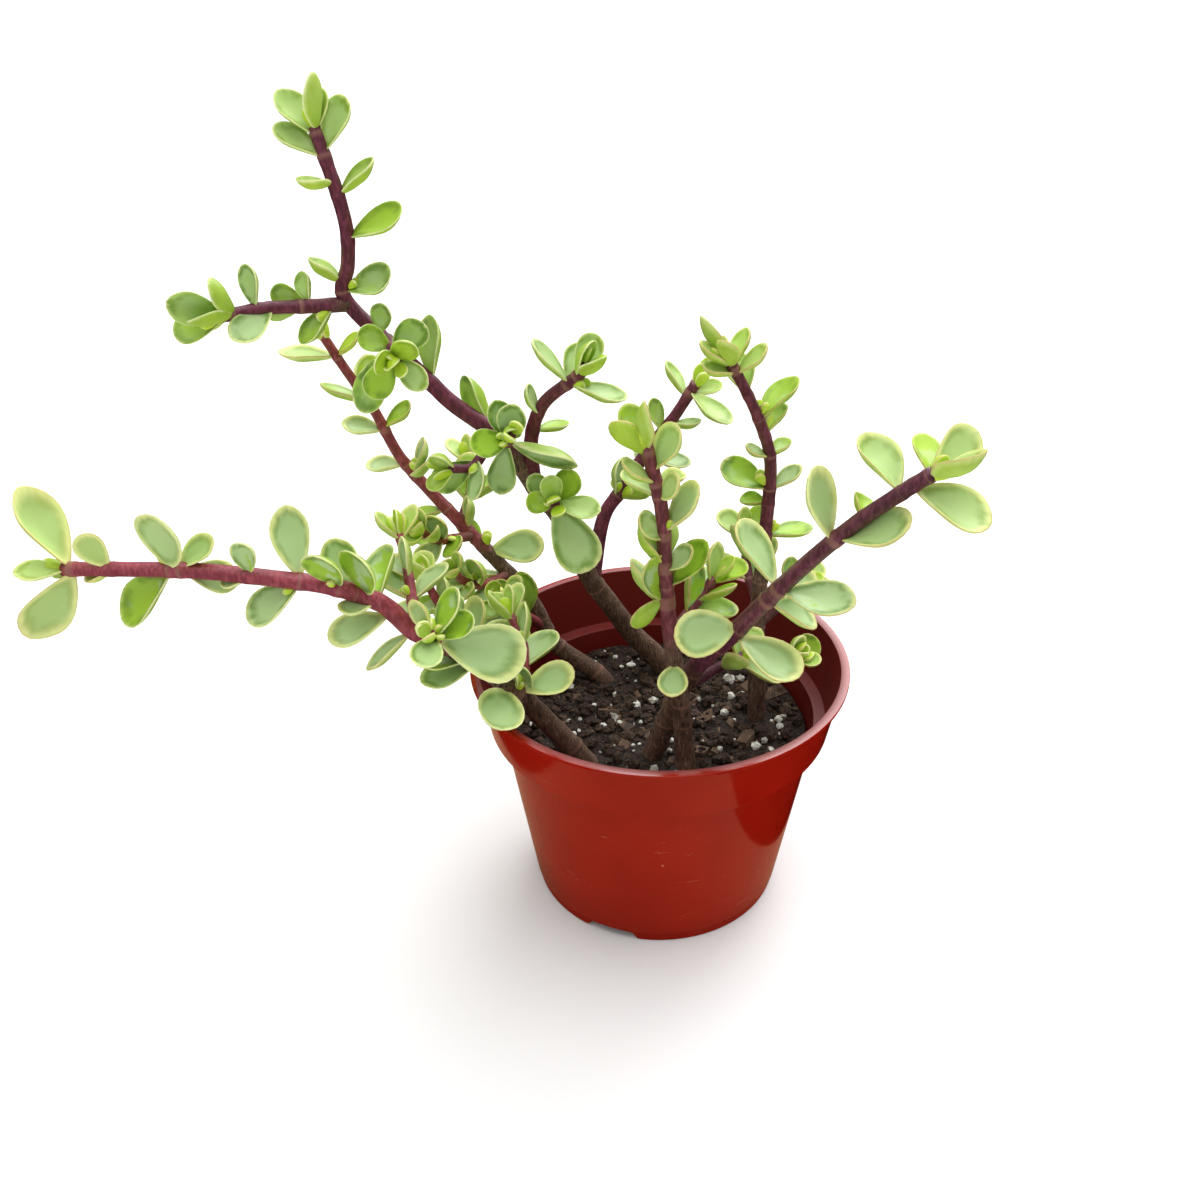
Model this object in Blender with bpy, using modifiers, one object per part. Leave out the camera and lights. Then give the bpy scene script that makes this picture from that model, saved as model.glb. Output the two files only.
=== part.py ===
# Potted elephant bush: a glossy plastic nursery pot, its soil and six leafy stems.
# Units are metres, +Z is up, and the origin is the centre of the pot's base, on the
# surface that it stands on. +X is to the viewer's right and +Y points away from the viewer.
import math
import random

import bmesh
import bpy
from mathutils import Matrix, Quaternion, Vector, noise
from mathutils.bvhtree import BVHTree

MM = 0.001
OBJECT_NAME = "potted_elephant_bush"
GAP = 0.3 * MM                    # air left between two touching pieces

# Pot, turned about Z
POT_HEIGHT = 74.4 * MM
LIP_RADIUS = 54.0 * MM
LIP_INNER_RADIUS = 51.5 * MM
LIP_THICK = 0.9 * MM
WALL = 0.9 * MM
COLLAR_TOP_RADIUS = 52.3 * MM
COLLAR_FOOT_RADIUS = 49.3 * MM
COLLAR_FOOT_HEIGHT = 57.0 * MM    # the ledge where the collar steps in to the body
STEP_SLOPE = 0.4 * MM             # how far such a step slopes from one wall to the next
BODY_TOP_RADIUS = 45.9 * MM
BODY_FOOT_RADIUS = 37.2 * MM
FOOT_RADIUS = 36.5 * MM
FOOT_HEIGHT = 3.0 * MM
FOOT_WIDTH = 2.2 * MM
FLOOR_THICK = 1.2 * MM
PAD_RADIUS = 9.0 * MM             # flat middle of the pot's floor, which also stands
PAD_SLOPE = 2.0 * MM
POT_STEPS = 36
NOTCH_COUNT = 3                   # drain notches through the foot ring
NOTCH_WIDTH = 15.0 * MM
NOTCH_HEIGHT = 2.2 * MM
NOTCH_FIRST_TURN = math.radians(-110.4)

# Soil
SOIL_HEIGHT = 51.5 * MM
SOIL_ROUGHNESS = 1.6 * MM
SOIL_WAVE = 9.0 * MM
SOIL_GRAIN = 3.5 * MM
SOIL_RINGS = 5
SOIL_STEPS = 28
CLOD_COUNT = 18
CLOD_SIZES = (1.6 * MM, 3.6 * MM)
ROOT_LENGTH = 32.0 * MM           # length of a stem's hole in the soil, from the stem's foot
ROOT_LEVEL = 45.0 * MM            # shoots that start below this height grow from the soil

# Leaves: a fleshy blade, widest past its middle, with a short wedge-shaped foot
LEAF_WIDTH_RATIO = 0.66
LEAF_RIM_HALF = 0.36 * MM
LEAF_CROWN_HALF = 0.95 * MM
LEAF_CUP = 0.13                   # how far the sides rise, as a share of half the width
LEAF_CROWN_AT = 0.52              # where a leaf is thickest, as a share of its length
LEAF_SIDES = 10
SMALL_LEAF_SIDES = 8
SMALL_LEAF = 12.0 * MM
LARGE_LEAF = 16.5 * MM            # leaves past this length get a blunt rim
LEAF_SUNK = 1.4 * MM              # how deep a leaf's foot goes into its stem
LEAF_CLEARANCE = 0.45 * MM
LEAF_FOOT_ROOM = 2.0 * MM         # this near its stem a leaf may touch a neighbour's foot
LEAF_SPREAD = 0.15                # how far a leaf's upper side tips back from its stem
STEEPEST_LEAN = math.radians(84)
LOWEST_LEAN = math.radians(-55)
ROLL_PLAY = 7.0                   # seeded spread of each leaf's roll, lean and twist
LEAN_PLAY = 5.0
TWIST_PLAY = 10.0
LENGTH_PLAY = 0.06
# How a leaf gives way where its first place is taken, from the least change to the most:
# a roll and a lean in degrees, and a share of its length
GIVE_WAY = [(0, 0, 1), (0, 14, 1), (18, 0, 1), (-18, 0, 1), (0, -16, 1), (30, 12, 0.92),
            (-30, 12, 0.92), (0, 26, 0.9), (45, 0, 0.85), (-45, 0, 0.85), (0, 0, 0.75),
            (60, 15, 0.8), (-60, 15, 0.8), (0, 30, 0.7), (30, 30, 0.65), (-30, 30, 0.65)]
# The rosette at a shoot's end: its outer pair, and how each pair further in differs
ROSETTE_SIZE = 0.9
ROSETTE_SIZE_STEP = -0.2
ROSETTE_BACK = 1.8 * MM
ROSETTE_BACK_STEP = -0.8 * MM
ROSETTE_LEAN = 48
ROSETTE_LEAN_STEP = 14
LIGHT = Vector((-0.05, -0.62, 0.78)).normalized()   # the side the plant was grown towards
SEED = 7

# Bark
ROUTE_STEP = 9.0 * MM             # distance between a stem's rings
TRUNK = 5.0                       # shoots with a foot thicker than this have rounder bark
THINNING = 1.3                    # a shoot thins faster near its foot than near its tip


def shoot(stem, route, thick, leaves=(), pairs=(), roll=0, leaf=(14, 11), lean=42, tip=2,
          face=0.55):
    """One shoot of a stem. route lists points in mm and thick the diameter at foot and tip.

    leaves lists single leaves: the distance along the shoot in mm, the roll round it, the
    lean towards the tip, both in degrees, the length in mm and, for some, a turn about the
    leaf's own length. pairs lists the distances of leaves that grow two by two, each pair a
    quarter turn on from the last: roll is the first pair's roll, leaf the length of the
    first and the last, lean their lean, and tip how many pairs make the rosette at the
    shoot's end. face is how far upper sides turn from the shoot's tip towards the light."""
    return {"stem": stem, "route": route, "thick": thick, "leaves": leaves, "pairs": pairs,
            "roll": roll, "leaf": leaf, "lean": lean, "tip": tip, "face": face}


# The shoots, worked out by eye from the photograph. A shoot that branches off starts
# inside the one that carries it. Round an upright shoot, roll 0 is right, 90 back, 180
# left and 270 front. Round one that runs to the left, roll 0 is up and 180 down.
SHOOTS = [
    # The long left stem
    shoot("left_stem", [(-12, -18, 38), (-23, -20, 56), (-31, -21, 67), (-39, -24, 79),
                        (-51, -30, 94), (-62, -35, 104), (-69, -38, 114), (-80, -42, 121),
                        (-92, -44, 124), (-110, -46, 127), (-128, -44, 126), (-146, -41, 124)],
          (6.4, 3.6), tip=0, face=0.9, leaves=[
              (48, 0, -10, 16), (52, 260, 20, 19, -20), (44, 40, 55, 13), (50, 20, 30, 8),
              (65, 205, 30, 13, 10), (68, 190, 40, 12, 10), (86, 200, 0, 13, 50),
              (94, 200, 15, 15, 10), (100, 240, 60, 9, 20), (99, 80, -10, 15, -20),
              (103, 350, 35, 16, 10), (106, 100, -5, 12, -30), (105, 30, 45, 13),
              (110, 350, 35, 14, 20), (119, 50, 15, 16), (119, 190, 40, 14),
              (119, 150, 45, 10), (131, 0, 5, 10, 30), (131, 180, 60, 6),
              (150, 355, -15, 19, 30), (150, 190, 45, 18), (148, 50, -55, 10),
              (147, 155, -55, 11), (166, 0, 15, 10), (166, 180, 60, 7),
              (177, 20, 32, 20, 70), (176, 210, 48, 20, -70), (178, 300, 55, 10),
              (178, 130, 50, 9)]),
    shoot("left_stem", [(-55, -32, 98), (-56, -37, 103), (-57, -41, 107)],
          (3.6, 2.6), tip=0, face=0.3, leaves=[
              (8, 340, -40, 21, 10), (9, 45, 25, 13, -20), (9, 15, 15, 12),
              (10, 100, 35, 10, -30), (10, 270, 40, 12, -10), (12, 150, 75, 5)]),
    shoot("left_stem", [(-43, -25, 84), (-51, -18, 91), (-59, -14, 99), (-63, -12, 106)],
          (3.4, 2.2), pairs=[10, 16, 22], roll=10, leaf=(12, 9)),
    shoot("left_stem", [(-62, -34, 104), (-64, -26, 111), (-66, -20, 116), (-68, -16, 122)],
          (3.2, 2.2), pairs=[8, 14], roll=40, leaf=(12, 9)),
    shoot("left_stem", [(-51, -30, 94), (-58, -22, 93), (-65, -15, 98), (-70, -12, 106)],
          (3.2, 2.2), pairs=[21], roll=200, leaf=(9, 9)),
    shoot("left_stem", [(-37, -23, 76), (-37, -14, 86), (-41, -8, 93)],
          (3.2, 2.2), pairs=[8, 14], roll=50, leaf=(13, 11)),
    # The second stem, which lies on the soil and then leans back to the left
    shoot("second_stem", [(-9, 21, 40), (-18, 23, 52), (-26, 25, 57), (-33, 26, 63),
                          (-37, 27, 72), (-42, 29, 80), (-48, 31, 86), (-55, 32, 94),
                          (-62, 33, 102),
                          (-69, 34, 110), (-77, 34, 121), (-83, 33, 136),
                          (-89, 30, 149), (-93, 26, 160)],
          (6.0, 2.6), tip=0, face=0.3, leaves=[
              (52, 210, 20, 13), (60, 200, 28, 13),
              (69, 5, -35, 15, 50), (71, 120, 60, 9, 30), (78, 10, 30, 10), (87, 185, 15, 11),
              (100, 320, 10, 11), (101, 355, 25, 11), (105, 180, 20, 11), (117, 180, 20, 10),
              (118, 0, 10, 10), (127, 180, 40, 13, 30), (133, 30, 20, 9), (131, 60, 20, 9),
              (144, 180, 20, 13, 30), (144, 5, 10, 8)]),
    shoot("second_stem", [(-57, 32, 96), (-62, 24, 99), (-65, 16, 103), (-68, 10, 109)],
          (3.2, 2.2), pairs=[9, 15, 21], roll=0, leaf=(12, 9)),
    shoot("second_stem", [(-46, 30, 84), (-52, 22, 85), (-56, 14, 90), (-59, 8, 97)],
          (3.2, 2.2), pairs=[8, 14, 20], roll=70, leaf=(12, 9)),
    shoot("second_stem", [(-35, 27, 67), (-41, 20, 76), (-45, 14, 82), (-46, 9, 88)],
          (3.4, 2.2), pairs=[12, 18, 24], roll=30, leaf=(14, 10)),
    shoot("second_stem", [(-60, 33, 100), (-58, 42, 107), (-59, 48, 114)],
          (3.0, 2.2), pairs=[7, 12], roll=0, leaf=(12, 10)),
    # The tall stem, which forks near its top
    shoot("tall_stem", [(7, 28, 40), (1, 28, 54), (-8, 27, 65), (-15, 22, 79),
                        (-21, 18, 91), (-28, 12, 112), (-35, 9, 124), (-43, 6, 139),
                        (-55, 4, 150), (-61, 3, 157), (-72, 2, 169), (-80, 2, 179),
                        (-78, 1, 187), (-77, 0, 195), (-78, 0, 203), (-81, 2, 213),
                        (-83, 4, 219)],
          (7.0, 3.2), tip=0, leaves=[
              (118, 70, 45, 15, -50), (139, 30, 30, 15, -10), (157, 340, 30, 8, 60),
              (171, 350, 30, 13, 20), (173, 180, 15, 9, 30), (185, 0, 30, 15),
              (198, 240, 5, 9), (195, 5, 20, 11, -10), (204, 190, 40, 12),
              (205, 0, 35, 13, 30), (209, 190, 40, 11), (210, 320, 40, 13),
              (210, 10, 60, 8)]),
    shoot("tall_stem", [(-79, 2, 177), (-90, -3, 178), (-99, -8, 179), (-108, -12, 178)],
          (3.8, 2.8), tip=0, leaves=[
              (4, 200, 35, 11), (10, 40, -15, 7), (10, 60, 60, 8), (12, 170, 60, 8, 60),
              (23, 0, -10, 10), (19, 220, 50, 12, -40), (28, 340, 15, 11, -20), (30, 10, 55, 12),
              (30, 140, 70, 13, -10), (28, 240, 55, 13, -10), (30, 120, 20, 8)]),
    shoot("tall_stem", [(-70, 2, 168), (-67, -8, 169), (-65, -14, 168)],
          (3.2, 2.4), tip=0, face=0.3, leaves=[
              (15, 60, 40, 9), (15, 150, 40, 9), (13, 225, 25, 11), (14, 325, 35, 10),
              (11, 45, 15, 11), (10, 250, 0, 15, 40), (9, 150, 10, 8)]),
    shoot("tall_stem", [(-42, 6, 137), (-40, -4, 143), (-38, -11, 148)],
          (3.4, 2.4), tip=0, face=0.3, leaves=[
              (12, 80, 60, 13), (14, 195, 25, 11), (10, 260, -45, 13), (13, 110, 20, 10),
              (11, 350, 10, 19, 80), (15, 100, 60, 8)]),
    shoot("tall_stem", [(-35, 9, 124), (-35, 6, 139), (-31, 2, 151), (-22, -2, 160),
                        (-19, -3, 164)],
          (4.4, 3.0), tip=0, leaves=[
              (19, 30, 5, 8, -30), (25, 185, 45, 9),
              (39, 190, 10, 14, 20), (39, 330, 40, 14, -20), (42, 180, 60, 11),
              (43, 290, 60, 10), (42, 90, 50, 10), (38, 90, 20, 10)]),
    shoot("tall_stem", [(-32, 10, 120), (-29, 0, 124), (-28, -6, 126)],
          (3.2, 2.4), tip=0, face=0.3, leaves=[
              (14, 295, 0, 20), (16, 350, 25, 11, -40), (15, 175, 25, 8), (16, 100, 30, 10),
              (14, 150, 10, 9), (14, 45, 15, 10)]),
    shoot("tall_stem", [(-45, 6, 140), (-50, 0, 134), (-56, -4, 135)],
          (3.0, 2.2), pairs=[8], roll=60, leaf=(13, 9), tip=1),
    shoot("tall_stem", [(-20, 19, 88), (-17, 24, 106), (-12, 27, 114), (-4, 30, 126),
                        (3, 32, 135), (9, 33, 145)],
          (4.6, 3.0), tip=0, leaves=[
              (27, 210, 50, 12, -10), (27, 320, 45, 9, -90), (38, 100, 30, 12),
              (42, 340, 20, 12), (53, 320, 25, 9), (50, 190, 20, 9), (62, 160, 15, 10, 20),
              (63, 30, 30, 9, -10), (64, 340, -10, 16, -20), (67, 60, 60, 8)]),
    # The centre stem
    shoot("centre_stem", [(10, -25, 38), (8, -26, 56), (6, -27, 78), (4, -28, 92),
                          (2, -29, 108), (1, -30, 123), (0, -30, 137), (-2, -29, 146),
                          (-4, -28, 153)],
          (6.0, 3.2), tip=0, leaves=[
              (54, 270, -5, 12), (75, 190, -40, 11, 90),
              (72, 160, 35, 13, 40), (74, 200, 70, 13, -20), (78, 10, 45, 15),
              (83, 340, 35, 10, 10), (84, 190, 60, 12, 20), (92, 210, 40, 10, -20),
              (86, 40, 50, 8, -90), (94, 350, 50, 14, 10), (103, 310, 30, 10, 30),
              (103, 140, 20, 10), (107, 220, 40, 10), (110, 340, 40, 12, 10),
              (106, 40, -10, 7), (114, 220, 50, 11, 60), (115, 280, 70, 12), (115, 130, 60, 10),
              (115, 60, 60, 10), (115, 200, 65, 9)]),
    shoot("centre_stem", [(3, -28, 100), (9, -21, 105), (14, -17, 111)],
          (3.2, 2.4), pairs=[7, 12], roll=10, leaf=(13, 11)),
    # The right stem
    shoot("right_stem", [(-6, -14, 40), (0, -16, 56), (5, -18, 74), (11, -22, 88),
                         (18, -27, 99), (25, -33, 112), (33, -42, 128), (43, -50, 144),
                         (53, -54, 155), (58, -56, 160)],
          (6.4, 3.4), tip=0, leaves=[
              (71, 220, 0, 20, -20), (68, 320, 15, 19, -20), (91, 140, 5, 17, 30),
              (92, 330, 40, 17, -10), (85, 10, -15, 14, -20),
              (86, 50, 10, 12), (115, 170, 30, 18, 10),
              (117, 320, 65, 19), (125, 80, -15, 9, 10),
              (136, 120, -10, 14, 10), (139, 350, 20, 16),
              (144, 100, -5, 10), (144, 60, 20, 15, 20), (144, 270, 65, 13, 10)]),
    shoot("right_stem", [(6, -18, 76), (15, -14, 80), (23, -12, 84)],
          (3.2, 2.4), tip=0, leaves=[
              (17, 350, 30, 13), (18, 190, 20, 11), (13, 250, 20, 10), (18, 90, 50, 10)]),
    # The back stem
    shoot("back_stem", [(29, 2, 40), (29, 4, 56), (28, 6, 77), (28, 8, 90), (29, 10, 114),
                        (29, 10, 132), (25, 8, 145), (20, 5, 156), (16, 4, 163)],
          (5.6, 2.8), tip=0, leaves=[
              (70, 20, -5, 12, -10), (84, 170, 15, 14), (84, 10, 25, 9, -10),
              (80, 130, -20, 7, -20), (94, 200, 45, 7), (94, 50, -10, 7, -10),
              (101, 60, 0, 10, -10), (106, 40, 10, 13, -30),
              (115, 100, 10, 12), (124, 100, 10, 11, -40), (124, 75, 10, 10, -20),
              (124, 120, 60, 14, 80), (124, 180, 60, 10, 20), (122, 200, 35, 9, 10),
              (122, 350, 15, 10), (124, 290, 60, 10, -30)]),
    shoot("back_stem", [(28, 6, 70), (35, 2, 73), (39, -1, 77)],
          (3.0, 2.4), pairs=[8], roll=80, leaf=(11, 8), tip=2),
    shoot("back_stem", [(28, 8, 88), (25, 16, 95), (24, 22, 103)],
          (3.2, 2.4), pairs=[8, 14], roll=0, leaf=(13, 11)),
    shoot("back_stem", [(28, 7, 82), (35, 9, 88), (40, 10, 94)],
          (3.2, 2.4), pairs=[8, 13], roll=60, leaf=(13, 10)),
]
STEM_COLOURS = {
    "left_stem": (0.33, 0.50, 0.24),
    "second_stem": (0.29, 0.46, 0.20),
    "tall_stem": (0.25, 0.46, 0.13),
    "centre_stem": (0.32, 0.50, 0.22),
    "right_stem": (0.36, 0.53, 0.22),
    "back_stem": (0.30, 0.47, 0.18),
}


def clear_scene():
    for old in list(bpy.data.objects):
        bpy.data.objects.remove(old)


def collection(name):
    made = bpy.data.collections.new(name)
    bpy.context.scene.collection.children.link(made)
    return made


def material(name, colour, roughness, metallic=0.0):
    made = bpy.data.materials.new(name)
    made.use_nodes = True
    shader = made.node_tree.nodes["Principled BSDF"]
    shader.inputs["Base Color"].default_value = (*colour, 1.0)
    shader.inputs["Roughness"].default_value = roughness
    shader.inputs["Metallic"].default_value = metallic
    return made


def object_from_bmesh(name, shape, where):
    mesh = bpy.data.meshes.new(name)
    shape.to_mesh(mesh)
    shape.free()
    made = bpy.data.objects.new(name, mesh)
    where.objects.link(made)
    return made


def turned(name, profile, steps, where):
    """A profile of (radius, height) points, turned about Z by a Screw modifier."""
    shape = bmesh.new()
    points = [shape.verts.new((radius, 0, height)) for radius, height in profile]
    for first, second in zip(points, points[1:]):
        shape.edges.new((first, second))
    if profile[0][0] > 0:
        shape.edges.new((points[-1], points[0]))
    made = object_from_bmesh(name, shape, where)
    screw = made.modifiers.new("Turn", "SCREW")
    screw.axis = "Z"
    screw.steps = steps
    screw.render_steps = steps
    screw.use_merge_vertices = True
    screw.merge_threshold = 0.00005
    return made


def baked(made):
    """Swap an object's mesh for the mesh that its modifiers or its curve give."""
    bpy.context.view_layer.update()
    seen = made.evaluated_get(bpy.context.evaluated_depsgraph_get())
    mesh = bpy.data.meshes.new_from_object(seen)
    new = bpy.data.objects.new(made.name, mesh)
    new.matrix_world = made.matrix_world
    for where in made.users_collection:
        where.objects.link(new)
    name = made.name
    bpy.data.objects.remove(made)
    new.name = name
    return new


def boolean(target, operation, other, solver="EXACT"):
    change = target.modifiers.new(operation.title(), "BOOLEAN")
    change.operation = operation
    change.solver = solver
    if isinstance(other, bpy.types.Collection):
        change.operand_type = "COLLECTION"
        change.collection = other
    else:
        change.object = other
    return change


def smooth_shade(made, degrees=35):
    made.data.shade_smooth()
    made.data.set_sharp_from_angle(angle=math.radians(degrees))


def remove_all(where):
    for old in list(where.objects):
        bpy.data.objects.remove(old)
    bpy.data.collections.remove(where)


def keep_largest_body(made):
    """Drop loose scraps and the skins of sealed hollows, which fusing can leave."""
    shape = bmesh.new()
    shape.from_mesh(made.data)
    unseen = set(shape.verts)
    bodies = []
    while unseen:
        body = {unseen.pop()}
        edge = list(body)
        while edge:
            vert = edge.pop()
            for link in vert.link_edges:
                other = link.other_vert(vert)
                if other in unseen:
                    unseen.remove(other)
                    body.add(other)
                    edge.append(other)
        bodies.append(body)
    bodies.sort(key=len)
    scraps = [vert for body in bodies[:-1] for vert in body]
    bmesh.ops.delete(shape, geom=scraps, context="VERTS")
    shape.to_mesh(made.data)
    shape.free()


def smooth_route(points):
    """A smooth curve through a route's points, read every ROUTE_STEP or so."""
    knots = [Vector(point) * MM for point in points]
    ends = [knots[0] * 2 - knots[1], *knots, knots[-1] * 2 - knots[-2]]
    curve = []
    for before, start, end, after in zip(ends, ends[1:], ends[2:], ends[3:]):
        count = max(1, round((end - start).length / ROUTE_STEP))
        for number in range(count):
            t = number / count
            curve.append(0.5 * (2 * start + (end - before) * t
                                + (2 * before - 5 * start + 4 * end - after) * t ** 2
                                + (3 * start - 3 * end + after - before) * t ** 3))
    return curve + [knots[-1]]


def distances(curve):
    """How far along the curve each of its points lies."""
    along = [0.0]
    for first, second in zip(curve, curve[1:]):
        along.append(along[-1] + (second - first).length)
    return along


def frame_at(curve, along, distance):
    """The point, the direction and the two side directions at a distance along a curve."""
    ahead = (curve[1] - curve[0]).normalized()
    away = Vector((0, 1, 0)) if abs(ahead.y) < 0.8 else Vector((0, 0, 1))
    last = len(curve) - 2
    for number in range(last + 1):
        ahead = (curve[number + 1] - curve[number]).normalized()
        away = (away - ahead * away.dot(ahead)).normalized()
        if along[number + 1] >= distance or number == last:
            share = (distance - along[number]) / (along[number + 1] - along[number])
            point = curve[number].lerp(curve[number + 1], share)
            return point, ahead, away.cross(ahead), away


def shoot_radius(plan, share):
    """A shoot's radius at a share of its length: it thins fast at first, then slowly."""
    foot, tip = plan["thick"]
    return 0.5 * MM * (tip + (foot - tip) * (1 - share) ** THINNING)


def stem_tube(plan, name, where, extra=0.0, length=None):
    """A shoot's bark: a tube that thins along its route, as a mesh with welded caps.

    A cutter for its hole in the soil is the same tube, a little wider and cut short."""
    curve = smooth_route(plan["route"])
    along = distances(curve)
    total = along[-1]
    data = bpy.data.curves.new(name, "CURVE")
    data.dimensions = "3D"
    data.bevel_depth = 1.0
    data.bevel_resolution = 2 if plan["thick"][0] > TRUNK else 1
    data.use_fill_caps = True
    kept = [number for number, at in enumerate(along) if length is None or at <= length]
    spline = data.splines.new("POLY")
    spline.points.add(len(kept) - 1)
    for number in kept:
        spline.points[number].co = (*curve[number], 1.0)
        spline.points[number].radius = shoot_radius(plan, along[number] / total) + extra
    made = bpy.data.objects.new(name, data)
    where.objects.link(made)
    made = baked(made)
    shape = bmesh.new()
    shape.from_mesh(made.data)
    bmesh.ops.remove_doubles(shape, verts=shape.verts, dist=0.00001)
    bmesh.ops.recalc_face_normals(shape, faces=shape.faces)
    shape.to_mesh(made.data)
    shape.free()
    return made


def half_width(t):
    """Half a leaf's width at a share t of its length, where the full width is 1.

    It swells from a wedge-shaped foot to a round tip, and is 0.5 at its widest."""
    return 0.8 * t ** 0.75 * math.sqrt(max(0.0, 1 - t ** 3))


def leaf_bmesh(length, grow=0.0):
    """A flat ball drawn out into a leaf along +X, upper side towards +Z, foot at the origin."""
    rows = 3 if length > LARGE_LEAF else 2
    sides = SMALL_LEAF_SIDES if length < SMALL_LEAF else LEAF_SIDES
    leaf = bmesh.new()
    bmesh.ops.create_uvsphere(leaf, u_segments=sides, v_segments=rows, radius=1.0)
    for vert in leaf.verts:
        side = round(1.4 * vert.co.z)       # 1 on the upper side, -1 below, 0 on the rim
        if math.hypot(vert.co.x, vert.co.y) < 0.1:
            vert.co = Vector((LEAF_CROWN_AT * length, 0, side * (LEAF_CROWN_HALF + grow)))
            continue
        turn = math.atan2(vert.co.y, vert.co.x)
        t = 0.5 * (1 + math.cos(turn))
        width = LEAF_WIDTH_RATIO * length * half_width(t)
        across = 0.0 if abs(math.sin(turn)) < 0.01 else math.copysign(width, vert.co.y)
        rise = LEAF_CUP * abs(across) + side * (LEAF_RIM_HALF + grow)
        out = Vector((t - 0.5, across / length, 0)).normalized() * grow
        vert.co = Vector((length * t, across, rise)) + out
    return leaf


def leaf_matrix(foot, axis, normal):
    """Turns a leaf made along +X with its upper side towards +Z into its place."""
    across = normal.cross(axis)
    return Matrix((
        (axis.x, across.x, normal.x, foot.x),
        (axis.y, across.y, normal.y, foot.y),
        (axis.z, across.z, normal.z, foot.z),
        (0, 0, 0, 1),
    ))


def planned_leaves(plan, rng):
    """Where a shoot's leaves would like to grow, from its foot to its rosette."""
    curve = smooth_route(plan["route"])
    along = distances(curve)
    total = along[-1]
    first, last = plan["leaf"]
    wanted = []
    for at, turn, lean, length, *twist in plan["leaves"]:
        wanted.append((at * MM, turn, lean, length * MM, *(twist or (0,))))
    turn = plan["roll"]
    last_pair = max(1, len(plan["pairs"]) - 1)
    for number, at in enumerate(plan["pairs"]):
        length = (first + (last - first) * number / last_pair) * MM
        wanted += [(at * MM, turn, plan["lean"], length, 0),
                   (at * MM, turn + 180, plan["lean"], length, 0)]
        turn += 90
    for number in range(plan["tip"] if plan["pairs"] else 0):
        length = last * MM * (ROSETTE_SIZE + ROSETTE_SIZE_STEP * number)
        at = total - ROSETTE_BACK - ROSETTE_BACK_STEP * number
        lean = ROSETTE_LEAN + ROSETTE_LEAN_STEP * number
        wanted += [(at, turn, lean, length, 0), (at, turn + 180, lean, length, 0)]
        turn += 90
    leaves = []
    for at, turn, lean, length, twist in wanted:
        point, ahead, right, away = frame_at(curve, along, min(at, total - 0.5 * MM))
        leaves.append({
            "point": point, "ahead": ahead, "right": right, "away": away,
            "radius": shoot_radius(plan, min(1.0, at / total)),
            "roll": math.radians(turn + rng.uniform(-ROLL_PLAY, ROLL_PLAY)),
            "lean": math.radians(lean + rng.uniform(-LEAN_PLAY, LEAN_PLAY)),
            "twist": math.radians(twist + rng.uniform(-TWIST_PLAY, TWIST_PLAY)),
            "length": length * rng.uniform(1 - LENGTH_PLAY, 1 + LENGTH_PLAY),
            "face": plan["face"],
        })
    return leaves


def place_leaf(leaf, give, grow=0.0):
    """A leaf's blade in its place, after it has given way by a roll, a lean and a share."""
    roll_shift, lean_shift, share = give
    roll = leaf["roll"] + math.radians(roll_shift)
    lean = min(STEEPEST_LEAN, max(LOWEST_LEAN, leaf["lean"] + math.radians(lean_shift)))
    outward = leaf["right"] * math.cos(roll) + leaf["away"] * math.sin(roll)
    axis = (outward * math.cos(lean) + leaf["ahead"] * math.sin(lean)).normalized()
    normal = leaf["ahead"] * (1 - leaf["face"]) + LIGHT * leaf["face"] - outward * LEAF_SPREAD
    normal = (normal - axis * normal.dot(axis)).normalized()
    normal.rotate(Quaternion(axis, leaf["twist"]))
    foot = leaf["point"] + outward * max(0.0, leaf["radius"] - LEAF_SUNK)
    shape = leaf_bmesh(leaf["length"] * share + LEAF_SUNK, grow)
    shape.transform(leaf_matrix(foot, axis, normal))
    return shape


def blade_tree(leaf, give):
    """The blade of a leaf beyond its foot, a little fatter than life, to test for clashes."""
    shape = place_leaf(leaf, give, LEAF_CLEARANCE)
    near_foot = leaf["radius"] + LEAF_FOOT_ROOM
    doomed = [vert for vert in shape.verts if (vert.co - leaf["point"]).length < near_foot]
    bmesh.ops.delete(shape, geom=doomed, context="VERTS")
    tree = BVHTree.FromBMesh(shape)
    shape.free()
    return tree


def grow_leaves(barks, other_solids):
    """Places every shoot's leaves in turn, so that none crosses what is already there."""
    rng = random.Random(SEED)
    placed = []
    grown = []
    for number, plan in enumerate(SHOOTS):
        strangers = [tree for stem, tree in barks if stem != plan["stem"]] + other_solids
        own_barks = [tree for index, (stem, tree) in enumerate(barks)
                     if stem == plan["stem"] and index != number]
        own = []
        for leaf in planned_leaves(plan, rng):
            reach = leaf["length"] + leaf["radius"] + LEAF_FOOT_ROOM
            near = [tree for tree, foot, size in placed
                    if (foot - leaf["point"]).length < reach + size]
            for give in GIVE_WAY:
                blade = blade_tree(leaf, give)
                if any(blade.overlap(other) for other in strangers + own_barks + near):
                    continue
                placed.append((blade, leaf["point"], reach))
                own.append(place_leaf(leaf, give))
                break
        grown.append(own)
    return grown


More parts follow.
